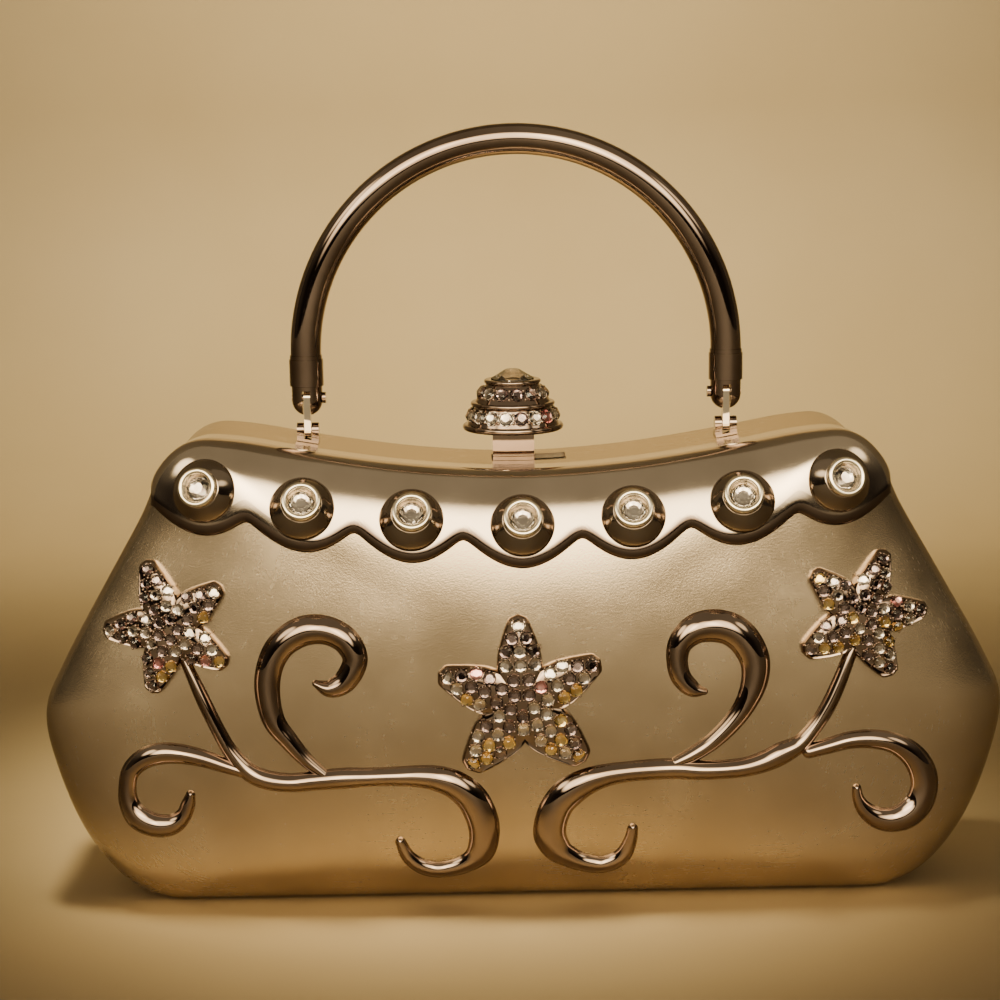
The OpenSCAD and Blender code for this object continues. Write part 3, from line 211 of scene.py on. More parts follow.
STEM_RIGHT = [
    (0.673, 0.564, 0.36), (0.661, 0.535, 0.43), (0.641, 0.484, 0.48), (0.620, 0.438, 0.5),
    (0.594, 0.395, 0.5), (0.563, 0.359, 0.58), (0.526, 0.339, 0.74), (0.492, 0.323, 0.7),
    (0.452, 0.312, 0.64), (0.408, 0.308, 0.62), (0.357, 0.308, 0.64), (0.305, 0.313, 0.68),
    (0.253, 0.312, 0.68), (0.204, 0.308, 0.68), (0.162, 0.301, 0.76), (0.125, 0.288, 0.88),
    (0.090, 0.266, 1), (0.065, 0.237, 1), (0.051, 0.201, 1), (0.048, 0.164, 1),
    (0.063, 0.130, 0.9), (0.085, 0.111, 0.77), (0.115, 0.095, 0.68), (0.152, 0.087, 0.64),
    (0.182, 0.096, 0.62), (0.203, 0.117, 0.54), (0.215, 0.151, 0.42), (0.219, 0.177, 0.34),
]
CURL_RIGHT = [
    (0.684, 0.252, 0.3), (0.689, 0.227, 0.38), (0.704, 0.203, 0.52), (0.730, 0.183, 0.7),
    (0.763, 0.175, 0.86), (0.797, 0.184, 1), (0.821, 0.209, 0.98), (0.830, 0.248, 0.9),
    (0.822, 0.286, 0.84), (0.798, 0.322, 0.75), (0.761, 0.348, 0.65), (0.717, 0.360, 0.62),
    (0.669, 0.361, 0.58), (0.624, 0.351, 0.53), (0.583, 0.341, 0.48),
]

# Clasp and knob
CARRY_Y = 9
KNOB_X = -1.1
KNOB_LIFT = 6.2
CLASP_TRAVEL = 6.2
STEM_W = 8.4
STEM_D = 5
SLOT_GAP = 0.3
SLOT_BACK = 3.2
FLANGE_R = 10.3
FLANGE_T = 1.3
MID_RING_R = 8.6
TOP_RING_R = 5.8
TIER_H = 3.6
RING_T = 0.9
KNOB_STONE_R = 1.45
KNOB_STONE_LIFT = 0.12
KNOB_BEAD_R = 0.34
KNOB_BEAD_SHARES = (0.28, 0.72)
SPRING_WIRE_R = 0.2
SPRING_CURLS = 7
CURL_STEPS = 16
LOWER_STONES = 18
UPPER_STONES = 13
CROWN_R = 4.4
CROWN_H = 2

# Cut of a stone: shares of its height, how far up the crown its kites begin, its sides, and its table's width
GIRDLE_SHARE = 0.22
LOWER_SHARE = 0.1
PAVILION_SHARE = 0.5
KITE_SHARE = 0.55
STONE_SIDES = 8
TABLE_SHARE = 0.55
STAR_TABLE_SHARE = 0.58

# Sides of turned forms and tubes
BOSS_SIDES = 64
KNOB_SIDES = 96
TUBE_SIDES = 48
WIRE_SIDES = 8

# Handle
HOOP_STEPS = 144
TUBE_END_GAP = 0.1
HOOP_R = 42.6
HOOP_X = -0.3
TUBE_R = 3.1
TUBE_SEAT = 4
FERRULE_L = 6.2


# Curves and the case's surface

def catmull_rom(points, steps, closed):
    """Points of a smooth curve through the given ones; where it is closed, it stays flat on the base."""
    p = np.asarray(points, float)
    n = len(p)
    out = []
    for i in range(n if closed else n - 1):
        a, b, c, d = (
            (p[i - 1], p[i], p[(i + 1) % n], p[(i + 2) % n]) if closed
            else (p[max(i - 1, 0)], p[i], p[i + 1], p[min(i + 2, n - 1)])
        )
        for j in range(steps):
            t = j / steps
            if closed and b[1] + c[1] == 0:
                out.append(b + (c - b) * t)
            else:
                out.append((2 * b + (c - a) * t + (2 * a - 5 * b + 4 * c - d) * t * t
                            + (3 * b - 3 * c + d - a) * t ** 3) / 2)
    if not closed:
        out.append(p[-1])
    out = np.array(out)
    if closed:
        out[:, 1] = np.maximum(out[:, 1], 0)
    return out


def case_outline(steps):
    """The case's closed outline seen from the front, counted round from the middle of the top."""
    right = [(x * CASE_W / 2, z * CASE_H) for x, z in OUTLINE_SHARES]
    return catmull_rom(right + [(-x, z) for x, z in right[:0:-1]], steps, True)


OUTLINE = case_outline(OUTLINE_STEPS)
fine = case_outline(4 * OUTLINE_STEPS)
bearing = np.arctan2(fine[:, 1] - CASE_MID_Z, fine[:, 0])
order = np.argsort(bearing)
REACH_ANGLE = np.concatenate([bearing[order] - 2 * math.pi, bearing[order], bearing[order] + 2 * math.pi])
REACH = np.tile(np.hypot(fine[:, 0], fine[:, 1] - CASE_MID_Z)[order], 3)
upper = fine[(fine[:, 1] > CASE_MID_Z) & (fine[:, 0] >= 0)]
upper = upper[np.argsort(upper[:, 0])]


def outline_height(x):
    """Height of the case's top edge at a distance from the middle."""
    return np.interp(np.abs(x), upper[:, 0], upper[:, 1])


def out_share(x, z):
    """How far a place lies on the way from the case's middle, 0, out to its outline, 1."""
    reach = np.interp(np.arctan2(z - CASE_MID_Z, x), REACH_ANGLE, REACH)
    return np.minimum(1, np.hypot(x, z - CASE_MID_Z) / reach)


def round_y(s, wall, depth):
    """Depth of a rounded face at a share of the way out."""
    return wall + (depth - wall) * np.maximum(0, 1 - s ** ROUND_ACROSS) ** (1 / ROUND_DEEP)


def face_point(x, z, height):
    """The place on the front face, or a height above it."""
    x, z = np.asarray(x, float), np.asarray(z, float)
    return np.stack([x, -round_y(out_share(x, z), FRONT_WALL, FRONT_DEPTH) - height, z], -1)


def outwards(surface, x, z, span):
    """Direction outwards from a front surface, which gives y at x and z, from its slopes over a span."""
    slope_x = (surface(x + span, z) - surface(x - span, z)) / (2 * span)
    slope_z = (surface(x, z + span) - surface(x, z - span)) / (2 * span)
    n = np.stack([slope_x, -np.ones_like(slope_x), slope_z], -1)
    return n / np.linalg.norm(n, axis=-1, keepdims=True)


def face_y(x, z):
    """The front face's y."""
    return face_point(x, z, 0)[..., 1]


def inset(points, distance):
    """The closed outline, moved inwards along its own normals."""
    along = np.roll(points, -1, 0) - np.roll(points, 1, 0)
    normal = np.stack([-along[:, 1], along[:, 0]], 1) / np.linalg.norm(along, axis=1)[:, None]
    return points - distance * normal


# Meshes

def grid_faces(rows, columns, closed):
    """Quads of a grid stored row by row; closed joins the last column to the first."""
    faces = []
    for r in range(rows - 1):
        for c in range(columns if closed else columns - 1):
            here = r * columns + c
            ahead = r * columns + (c + 1) % columns
            faces.append((here, here + columns, ahead + columns, ahead))
    return faces


def add_object(name, data):
    """A new object in the scene."""
    obj = bpy.data.objects.new(name, data)
    bpy.context.scene.collection.objects.link(obj)
    return obj


class Shape:
    """Points and faces collected from several forms into one mesh."""

    def __init__(self):
        self.points = []
        self.faces = []
        self.smooth = []
        self.finish = []

    def add(self, points, faces, smooth=True, place=None, finish=0):
        """Adds a form; place moves it, and finish counts its material among the mesh's."""
        points = np.asarray(points, float).reshape(-1, 3)
        if place is not None:
            points = points @ np.array(place.to_3x3()).T + np.array(place.translation)
        start = len(self.points)
        self.points.extend(points.tolist())
        self.faces.extend(tuple(i + start for i in f) for f in faces)
        self.smooth.extend([smooth] * len(faces))
        self.finish.extend([finish] * len(faces))

    def build(self, name, body, materials, sharp, replaces=()):
        """Makes the object that rides on a body; edges steeper than sharp degrees stay sharp."""
        mesh = bpy.data.meshes.new(name)
        mesh.from_pydata([[c * MM for c in p] for p in self.points], [], self.faces)
        mesh.polygons.foreach_set("use_smooth", self.smooth)
        for material in materials:
            mesh.materials.append(material)
        mesh.polygons.foreach_set("material_index", self.finish)
        mesh.validate()
        recalculate_normals(mesh)
        mesh.set_sharp_from_angle(angle=math.radians(sharp))
        obj = add_object(name, mesh)
        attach(obj, body)
        if replaces:
            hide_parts(*replaces)
        return obj

    def build_form(self, node, body, materials, slot, sharp):
        """Makes the object that takes the place of a node."""
        return self.build(node + "_form", body, materials, sharp, (node,))


def recalculate_normals(mesh):
    """Turns every face outwards."""
    work = bmesh.new()
    work.from_mesh(mesh)
    bmesh.ops.recalc_face_normals(work, faces=work.faces)
    work.to_mesh(mesh)
    work.free()


def lathe(profile, segments):
    """Points and faces of a profile of (radius, height) turned round Z."""
    angles = np.linspace(0, 2 * math.pi, segments, endpoint=False)
    points = [(r * math.cos(a), r * math.sin(a), h) for r, h in profile for a in angles]
    faces = grid_faces(len(profile), segments, True)
    for row in (0, len(profile) - 1):
        if profile[row][0] > 0:
            faces.append(tuple(row * segments + k for k in range(segments)))
    return points, faces


def ball(r, rings, segments):
    """Points and faces of a small ball."""
    angles = np.linspace(-math.pi / 2, math.pi / 2, rings)
    return lathe([(r * math.cos(a), r * math.sin(a)) for a in angles], segments)


def aim(point, direction):
    """A place at a point whose Z axis lies along a direction."""
    z = Vector(direction).normalized()
    turn = Vector((0, 0, 1)).rotation_difference(z).to_matrix().to_4x4()
    return Matrix.Translation(Vector(point)) @ turn


def brilliant(r, h, table):
    """A round stone with a table, star and kite facets, a thin girdle and a shallow pavilion."""
    sides = STONE_SIDES

    def ring(radius, height, turn):
        angles = [2 * math.pi * (k + turn) / sides for k in range(sides)]
        return [(radius * math.cos(a), radius * math.sin(a), height) for a in angles]

    girdle = GIRDLE_SHARE * h
    points = (
        ring(r * table, h, 0) + ring(r * (1 + table) / 2, girdle + KITE_SHARE * (h - girdle), 0.5)
        + ring(r, girdle, 0) + ring(r, girdle, 0.5)
        + ring(r, LOWER_SHARE * h, 0) + ring(r, LOWER_SHARE * h, 0.5) + [(0, 0, -PAVILION_SHARE * h)]
    )
    top, kite, out_a, out_b, low_a, low_b, tip = (k * sides for k in range(7))
    faces = [tuple(range(sides))]
    for k in range(sides):
        j = (k + 1) % sides
        faces += [
            (top + k, kite + k, top + j), (top + j, kite + k, out_a + j, kite + j),
            (kite + k, out_a + k, out_b + k), (kite + k, out_b + k, out_a + j),
            (out_a + k, low_a + k, low_b + k, out_b + k), (out_b + k, low_b + k, low_a + j, out_a + j),
            (low_a + k, tip, low_b + k), (low_b + k, tip, low_a + j),
        ]
    return points, faces


# Materials

def new_material(name):
    """A material with its nodes and its shader."""
    material = bpy.data.materials.new(name)
    material.use_nodes = True
    tree = material.node_tree
    shader = tree.nodes["Principled BSDF"]
    return material, tree, shader


def add_node(tree, kind, inputs, operation=None):
    """A node whose inputs are values or other nodes' outputs."""
    node = tree.nodes.new("ShaderNode" + kind)
    if operation:
        node.operation = operation
    for key, value in inputs.items():
        if isinstance(value, bpy.types.NodeSocket):
            tree.links.new(value, node.inputs[key])
        else:
            node.inputs[key].default_value = value
    return node


def object_place(tree):
    """Where a point lies on its object."""
    return add_node(tree, "TexCoord", {}).outputs["Object"]


def calculate(tree, operation, a, b):
    """One value from two."""
    return add_node(tree, "Math", {0: a, 1: b}, operation).outputs["Value"]


def noise(tree, vector, scale, detail, roughness=0.5):
    """Noise over a vector, about 0.3 to 0.7."""
    inputs = {"Vector": vector, "Scale": scale, "Detail": detail, "Roughness": roughness}
    return add_node(tree, "TexNoise", inputs).outputs["Fac"]


def spread(tree, value, low, high, from_low=0.3, from_high=0.7):
    """Stretches a value to run from low to high."""
    inputs = {"Value": value, "From Min": from_low, "From Max": from_high, "To Min": low, "To Max": high}
    return add_node(tree, "MapRange", inputs).outputs["Result"]


def stretched(tree, vector, scale):
    """A vector scaled along each axis."""
    return add_node(tree, "Mapping", {"Vector": vector, "Scale": scale}).outputs["Vector"]


def tint(tree, value, low, high):
    """A colour between two, by a value from 0 to 1."""
    ramp = tree.nodes.new("ShaderNodeValToRGB")
    ramp.color_ramp.elements[0].color = (*low, 1)
    ramp.color_ramp.elements[1].color = (*high, 1)
    tree.links.new(value, ramp.inputs["Fac"])
    return ramp.outputs["Color"]


def bump(tree, shader, value, strength, distance):
    """Raises the surface by a value."""
    node = add_node(tree, "Bump", {"Height": value, "Strength": strength, "Distance": distance})
    tree.links.new(node.outputs["Normal"], shader.inputs["Normal"])


# Stretch of the noise for scratches, along each axis
SCRATCHES = [(900, 9000, 120), (140, 9000, 1100)]


def painted_shade_mix(tree, colour, painted_shade_tint):
    """Turns a colour into the tint of the painted dark reflection, as far as the mesh's edge attribute says.
    """
    edge = tree.nodes.new("ShaderNodeAttribute")
    edge.attribute_name = "edge"
    mix = tree.nodes.new("ShaderNodeMix")
    mix.data_type = "RGBA"
    tree.links.new(edge.outputs["Fac"], mix.inputs["Factor"])
    inner, outer = [i for i in mix.inputs if i.type == "RGBA"]
    tree.links.new(colour, inner)
    outer.default_value = (*painted_shade_tint, 1)
    return next(o for o in mix.outputs if o.type == "RGBA")


def metal(name, dark, light, rough_low, rough_high, grain_scale, grain, scratches, painted_shade_tint=None):
    """Metal with cloudy tarnish, a grain and fine scratches that lie every way; given a tint, it gets a
    painted dark reflection in that tint where the mesh's edge attribute says.
    """
    material, tree, shader = new_material(name)
    shader.inputs["Metallic"].default_value = 1
    place = object_place(tree)
    clouds = noise(tree, place, 60, 4)
    colour = tint(tree, spread(tree, clouds, 0, 1), dark, light)
    if painted_shade_tint:
        colour = painted_shade_mix(tree, colour, painted_shade_tint)
    tree.links.new(colour, shader.inputs["Base Color"])
    ways = [noise(tree, stretched(tree, place, stretch), 1, 2) for stretch in SCRATCHES]
    lines = calculate(tree, "MULTIPLY", *ways)
    dull = spread(tree, clouds, rough_low, rough_high)
    wear = calculate(tree, "ADD", dull, spread(tree, lines, 0, scratches, 0.3, 0.45))
    tree.links.new(wear, shader.inputs["Roughness"])
    bump(tree, shader, noise(tree, place, grain_scale, 3, 0.6), grain, 0.0001)
    return material


SATIN = metal("satin_nickel", (0.50, 0.40, 0.28), (0.59, 0.48, 0.345), 0.22, 0.28, 2600, 0.25, 0.03)
POLISHED = metal("polished_nickel", (0.60, 0.53, 0.44), (0.72, 0.64, 0.54), 0.03, 0.07, 700, 0.012, 0.05)
# Polished nickel darkened all over: a painted dark reflection of dim surroundings, used on the scrolls, star
# plates, knob and handle
PAINTED_SHADE_NICKEL = metal("nickel_with_painted_shade", (0.21, 0.155, 0.125), (0.33, 0.255, 0.21), 0.03, 0.08, 700, 0.012, 0.05)
# The border's rounded lower edge and its bosses turn to the dark tint: a painted dark reflection of dim
# surroundings
BORDER_METAL = metal("border_nickel", (0.54, 0.45, 0.36), (0.64, 0.54, 0.44), 0.09, 0.15, 900, 0.02, 0.05,
                     painted_shade_tint=(0.16, 0.12, 0.10))
BEZEL_METAL = metal("bezel_nickel", (0.76, 0.68, 0.55), (0.86, 0.79, 0.66), 0.18, 0.26, 900, 0.02, 0.04)
STEEL = metal("clasp_steel", (0.50, 0.49, 0.47), (0.60, 0.59, 0.57), 0.22, 0.30, 2600, 0.06, 0.08)


def crystal_material():
    """Clear glass with barely uneven facets."""
    material, tree, shader = new_material("crystal")
    shader.inputs["Base Color"].default_value = (0.97, 0.95, 0.96, 1)
    shader.inputs["Roughness"].default_value = 0.01
    shader.inputs["IOR"].default_value = 1.6
    shader.inputs["Transmission Weight"].default_value = 1
    place = object_place(tree)
    bump(tree, shader, noise(tree, place, 1500, 1), 0.02, 0.0001)
    return material


def foil_material(name, dark, light):
    """The mirror foil behind a stone, cloudy from stone to stone."""
    material, tree, shader = new_material(name)
    shader.inputs["Metallic"].default_value = 1
    shader.inputs["Roughness"].default_value = 0.06
    place = object_place(tree)
    clouds = noise(tree, place, 500, 2)
    tree.links.new(tint(tree, spread(tree, clouds, 0, 1), dark, light), shader.inputs["Base Color"])
    return material


def lining_material():
    """Woven satin with a soft sheen."""
    material, tree, shader = new_material("lining_satin")
    place = object_place(tree)
    clouds = noise(tree, place, 90, 3)
    tree.links.new(tint(tree, spread(tree, clouds, 0, 1), (0.50, 0.40, 0.27), (0.62, 0.52, 0.37)),
                   shader.inputs["Base Color"])
    shader.inputs["Roughness"].default_value = 0.55
    shader.inputs["Sheen Weight"].default_value = 0.5
    weave = noise(tree, stretched(tree, place, (9000, 1200, 1200)), 1, 2)
    bump(tree, shader, weave, 0.25, 0.0002)
    return material


CRYSTAL = crystal_material()
LINING = lining_material()
FOILS = [
    foil_material("foil_silver", (0.48, 0.42, 0.38), (0.82, 0.77, 0.70)),
    foil_material("foil_smoke", (0.17, 0.12, 0.12), (0.36, 0.28, 0.27)),
    foil_material("foil_gold", (0.72, 0.50, 0.16), (0.92, 0.74, 0.34)),
    foil_material("foil_rose", (0.62, 0.26, 0.26), (0.82, 0.50, 0.48)),
]
# Shares of the foils among stones that face up or ahead, and among those that face down; the large gold share
# of those that face down is a painted reflection of a gold surface below
HIGH_FOILS = (0.42, 0.50, 0.04, 0.04)
LOW_FOILS_PAINTED_GOLD = (0.16, 0.20, 0.62, 0.02)
KNOB_FOILS = (0.62, 0.32, 0, 0.06)
chance = np.random.default_rng(7)


def pick_foil(shares):
    """Draws the foil for the next stone."""
    return int(chance.choice(len(FOILS), p=shares))


def finish_node(name, material):
    """Gives a plain node of the frame its material."""
    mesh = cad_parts[name].data
    mesh.materials.clear()
    mesh.materials.append(material)


# Case halves

def dome_shares():
    """How far out each row of a rounded face lies, from its edge to its middle."""
    turns = np.linspace(math.pi / 2, 0, DOME_ROWS + 2)[1:-1]
    return [math.sin(t) ** (2 / ROUND_ACROSS) for t in turns] + MIDDLE_SHARES


def tray_rows(wall, depth, start, back):
    """Rows of one surface of a half, a distance inside the case's own: wall, then the rounded face."""
    points = inset(OUTLINE, back)
    hinge = RIM_END + (HINGE_EDGE - RIM_END) * np.maximum(0, 1 - points[:, 1] / (HINGE_Z + HINGE_EDGE))
    edge = np.maximum(start, hinge)
    rows = []
    for t in WALL_SHARES:
        rows.append(np.stack([points[:, 0], edge + (wall - edge) * t, points[:, 1]], 1))
    for s in dome_shares():
        y = round_y(s, wall, depth - back)
        rows.append(np.stack([points[:, 0] * s, np.full(len(points), y),
                              CASE_MID_Z + (points[:, 1] - CASE_MID_Z) * s], 1))
    return rows


def half_case(node, side, wall, depth, start, outer_in, thickness, body, materials, slot):
    """A hollow half in place of its node; side is -1 for the front."""
    shape = Shape()
    rows = tray_rows(wall, depth, start, outer_in)
    inner = tray_rows(wall, depth, start, outer_in + thickness)
    n = len(OUTLINE)
    loop = np.concatenate(rows[::-1] + inner)
    loop[:, 1] *= side
    shape.add(loop, grid_faces(2 * len(rows), n, True))
    top = depth - outer_in
    tips = [[0, side * top, CASE_MID_Z], [0, side * (top - thickness), CASE_MID_Z]]
    last_row = (2 * len(rows) - 1) * n
    tip = len(shape.points)
    shape.points.extend(tips)
    for k in range(n):
        shape.faces.append((k, (k + 1) % n, tip))
        shape.faces.append((last_row + k, last_row + (k + 1) % n, tip + 1))
        shape.smooth += [True, True]
        shape.finish += [0, 0]
    form = shape.build_form(node, body, materials, slot, sharp=50)
    soften(form.data, side, wall, depth)
    return form


def soft_y(x, z, wall, depth):
    """The face without the ridges that run from the outline's corners to its middle."""
    s = out_share(x, z)
    oval = np.hypot(x / (CASE_W / 2), (z - CASE_MID_Z) / (TOP_Z - CASE_MID_Z))
    mix = np.clip((s - OVAL_START) / OVAL_FADE, 0, 1)
    mix = mix * mix * (3 - 2 * mix)
    return round_y(np.minimum(1, s * mix + oval * (1 - mix)), wall, depth)


def soften(mesh, side, wall, depth):
    """Shades the rounded face from the soft form; its places stay as they are."""
    count = len(mesh.vertices)
    places = np.empty(3 * count)
    mesh.vertices.foreach_get("co", places)
    places = places.reshape(-1, 3) / MM
    x, z = places[:, 0], places[:, 2]
    ways = ((SLOPE_SPAN, 0), (-SLOPE_SPAN, 0), (0, SLOPE_SPAN), (0, -SLOPE_SPAN))
    right, left, above, below = (soft_y(x + dx, z + dz, wall, depth) for dx, dz in ways)
    slope_x = (right - left) / (2 * SLOPE_SPAN)
    slope_z = (above - below) / (2 * SLOPE_SPAN)
    soft = np.stack([-slope_x, np.full(count, side), -slope_z], 1)
    soft /= np.linalg.norm(soft, axis=1, keepdims=True)
    corners = np.empty(3 * len(mesh.loops))
    mesh.corner_normals.foreach_get("vector", corners)
    corners = corners.reshape(-1, 3)
    at = np.empty(len(mesh.loops), int)
    mesh.loops.foreach_get("vertex_index", at)
    facing = np.sign(corners[:, 1] * side)
    share = np.clip((SOFT_END - out_share(x, z)) / SOFT_FADE, 0, 1)[at] * (np.abs(corners[:, 1]) > 0.5)
    mixed = corners * (1 - share[:, None]) + soft[at] * (facing * share)[:, None]
    mixed /= np.linalg.norm(mixed, axis=1, keepdims=True)
    mesh.normals_split_custom_set(mixed.tolist())


half_case("front_shell", -1, FRONT_WALL, FRONT_DEPTH, RIM_END, 0, SHELL_T,
          "front_case", [SATIN], "satin_nickel")
half_case("front_lining", -1, FRONT_WALL, FRONT_DEPTH, FRAME_DEPTH + SEAT_GAP, SHELL_T + 2 * SEAT_GAP,
          LINING_T, "front_case", [LINING], "lining_satin")
half_case("back_lining", 1, BACK_WALL, BACK_DEPTH, FRAME_DEPTH + SEAT_GAP, SHELL_T + 2 * SEAT_GAP,
          LINING_T, "back_case", [LINING], "lining_satin")
back_shell = half_case("back_shell", 1, BACK_WALL, BACK_DEPTH, RIM_END, 0, SHELL_T,
                       "back_case", [SATIN], "satin_nickel")


def cut(obj, cutter):
    """Cuts one mesh out of another for good."""
    modifier = obj.modifiers.new("cut", "BOOLEAN")
    modifier.operation = "DIFFERENCE"
    modifier.solver = "EXACT"
    modifier.object = cutter
    graph = bpy.context.evaluated_depsgraph_get()
    mesh = bpy.data.meshes.new_from_object(obj.evaluated_get(graph))
    obj.modifiers.clear()
    obj.data = mesh
    bpy.data.objects.remove(cutter)


def box_cutter(low, high):
    """A box between two corners, to cut with."""
    mesh = bpy.data.meshes.new("cutter")
    xs, ys, zs = zip(low, high)
    corners = [(x, y, z) for x in xs for y in ys for z in zs]
    faces = [(0, 1, 3, 2), (4, 6, 7, 5), (0, 4, 5, 1), (2, 3, 7, 6), (0, 2, 6, 4), (1, 5, 7, 3)]
    mesh.from_pydata([[c * MM for c in p] for p in corners], [], faces)
    return add_object("cutter", mesh)


# The slot that the knob's stem slides in
SLOT_LOW = (KNOB_X - STEM_W / 2 - SLOT_GAP, CARRY_Y - STEM_D / 2 - SLOT_GAP, CASE_MID_Z)
SLOT_HIGH = (KNOB_X + STEM_W / 2 + CLASP_TRAVEL + SLOT_GAP, CARRY_Y + STEM_D / 2 + SLOT_BACK, CASE_H)
cut(back_shell, box_cutter(SLOT_LOW, SLOT_HIGH))


def frame_band(node, side, body):
    """A strip round the top and sides of the seam with a rounded rim."""
    deep = SHELL_T + SEAT_GAP + FRAME_T
    y0 = SEAM_GAP / 2
    y1 = y0 + RIM_W
    seat = SHELL_T + SEAT_GAP
    section = [
        (deep, y0 + 0.1), (deep - 0.1, y0), (-RIM_PROUD / 2, y0), (-RIM_PROUD * 0.8, y0 + 0.1),
        (-RIM_PROUD, y0 + 0.35), (-RIM_PROUD, y1 - 0.35), (-RIM_PROUD * 0.8, y1 - 0.1), (-RIM_PROUD / 2, y1),
        (seat, y1), (seat, FRAME_DEPTH - 0.1), (seat + 0.1, FRAME_DEPTH),
        (deep - 0.1, FRAME_DEPTH), (deep, FRAME_DEPTH - 0.1),
    ]
    reach = FRAME_REACH * OUTLINE_STEPS
    rings = [np.roll(inset(OUTLINE, i), reach, 0)[:2 * reach + 1] for i, _ in section]
    rows = [
        [(ring[k][0], side * y, ring[k][1]) for ring, (_, y) in zip(rings, section)]
        for k in range(2 * reach + 1)
    ]
    shape = Shape()
    count = len(section)
    last = 2 * reach * count
    ends = [tuple(range(count)), tuple(range(last, last + count))]
    shape.add([p for row in rows for p in row], grid_faces(len(rows), count, True) + ends)
    shape.build_form(node, body, [POLISHED], "polished_nickel", sharp=40)


frame_band("front_frame", -1, "front_case")
frame_band("back_frame", 1, "back_case")


# Scalloped border with its bosses

def border_line(x):
    """Height of the line that the scallops and the bosses hang from."""
    return TOP_Z + BORDER_RISE * (np.abs(x) / BORDER_HALF) ** RISE_POWER


# Scallops counted from the middle, where a half is a cusp, and the share of half the length there
COUNTS = [0, *(i + 0.5 for i in range(len(CUSP_SHARES))), SCALLOPS / 2]
COUNT_SHARES = [0, *CUSP_SHARES, 1]


def border_edge(x):
    """Height of the border's scalloped lower edge."""
    count = np.interp(np.abs(x) / BORDER_HALF, COUNT_SHARES, COUNTS)
    low = CUSP_ROUND ** SCALLOP_POWER
    high = (1 + CUSP_ROUND ** 2) ** (SCALLOP_POWER / 2)
    arc = ((np.cos(np.pi * count) ** 2 + CUSP_ROUND ** 2) ** (SCALLOP_POWER / 2) - low) / (high - low)
    fade = 1 - SCALLOP_FADE * (x / BORDER_HALF) ** 2
    return border_line(x) - BORDER_DROP - (SCALLOP_DROP - BORDER_DROP) * fade * arc


def border_height(x):
    """The border's full thickness, less towards its ends."""
    return BORDER_T * (1 - END_FADE * (np.abs(x) / BORDER_HALF) ** END_POWER)


def border_base():
    """Places on the shell under the border: columns along the case, rows from the seam to the scallops."""
    counts = np.linspace(-SCALLOPS / 2, SCALLOPS / 2, SCALLOPS * SCALLOP_STEPS + 1)
    shares = np.interp(np.abs(counts), COUNTS, COUNT_SHARES)
    stations = BORDER_HALF * np.sign(counts) * shares
    wall = RIM_END + SEAT_GAP + np.array(BORDER_WALL_ROWS) / WALL_ROWS_END * (FRONT_WALL - RIM_END)
    over = np.array(BORDER_FACE_SHARES)
    ends = np.array(BORDER_EDGE_ROWS)
    top = outline_height(stations)
    edge = np.minimum(border_edge(stations), top - BORDER_T)
    columns = []
    for x, z0, z1 in zip(stations, top, edge):
        room = ends[0] * EDGE_ROOM
        reach = max(z0 - z1 - room, LEAST_REACH * (z0 - z1))
        z = np.concatenate([z0 - over / over[-1] * reach, z1 + ends * (z0 - z1 - reach) / room])
        side = np.stack([np.full(len(wall), x), -wall, np.full(len(wall), z0)], 1)
        columns.append(np.concatenate([side, face_point(np.full(len(z), x), z, 0)]))
    return stations, np.array(columns), len(wall)


def grid_normals(points):
    """Directions outwards from a grid of places on the front."""
    n = np.cross(np.gradient(points, axis=0), np.gradient(points, axis=1))
    n /= np.maximum(np.linalg.norm(n, axis=-1, keepdims=True), 1e-9)
    return -n if n[len(n) // 2, -3, 1] > 0 else n


def edge_gaps(base, wall_rows):
    """How far each place on the face lies from the border's lower edge; on the wall it counts as far."""
    edge = base[:, -1]
    fine_edge = [edge[:-1] + (edge[1:] - edge[:-1]) * t for t in np.linspace(0, 1, 6)[:-1]]
    fine_edge = np.concatenate(fine_edge + [edge[-1:]])
    gaps = np.full(base.shape[:2], FAR)
    for k in range(wall_rows, base.shape[1]):
        gaps[:, k] = np.sqrt(((base[:, k, None] - fine_edge[None]) ** 2).sum(-1)).min(1)
    return gaps


def border_heights(stations, base, gaps):
    """The border's thickness, rounded off at its lower edge, at the seam and at its ends."""
    t = np.clip(gaps / BEVEL_W, 0, 1)
    height = border_height(stations)[:, None] * (1 - (1 - t) ** BEVEL_POWER) ** (1 / BEVEL_POWER)
    from_seam = np.clip((-base[..., 1] - RIM_END) / (FRONT_WALL - RIM_END), 0, 1)
    height = height * (1 - SEAM_FADE * (1 - from_seam))
    roll = np.clip(from_seam / SEAM_ROLL, 0, 1)
    height = height * np.sqrt(1 - (1 - roll) ** 2 * SEAM_ROLL_SHARE)
    end = np.clip((BORDER_HALF - np.abs(stations)) / END_ROLL, 0, 1)[:, None]
    return height * np.sqrt(1 - (1 - end) ** 2)


def border_shape():
    """The plate of the border, and how much painted dark reflection each of its points gets: most along its
    rounded lower edge.
    """
    stations, base, wall_rows = border_base()
    normals = grid_normals(base)
    gaps = edge_gaps(base, wall_rows)
    outer = base + normals * border_heights(stations, base, gaps)[..., None]
    under = base - normals * BORDER_SINK
    columns, rows = outer.shape[:2]
    ends = [
        (start + j, start + j + 1, start + 2 * rows - 2 - j, start + 2 * rows - 1 - j)
        for start in (0, (columns - 1) * 2 * rows) for j in range(rows - 1)
    ]
    shape = Shape()
    shape.add(np.concatenate([outer, under[:, ::-1]], 1), grid_faces(columns, 2 * rows, True) + ends)
    dark = 1 - np.clip((gaps / BEVEL_W - PAINTED_SHADE_START) / PAINTED_SHADE_FADE, 0, 1)
    return shape, np.concatenate([dark, dark[:, ::-1]], 1).ravel()


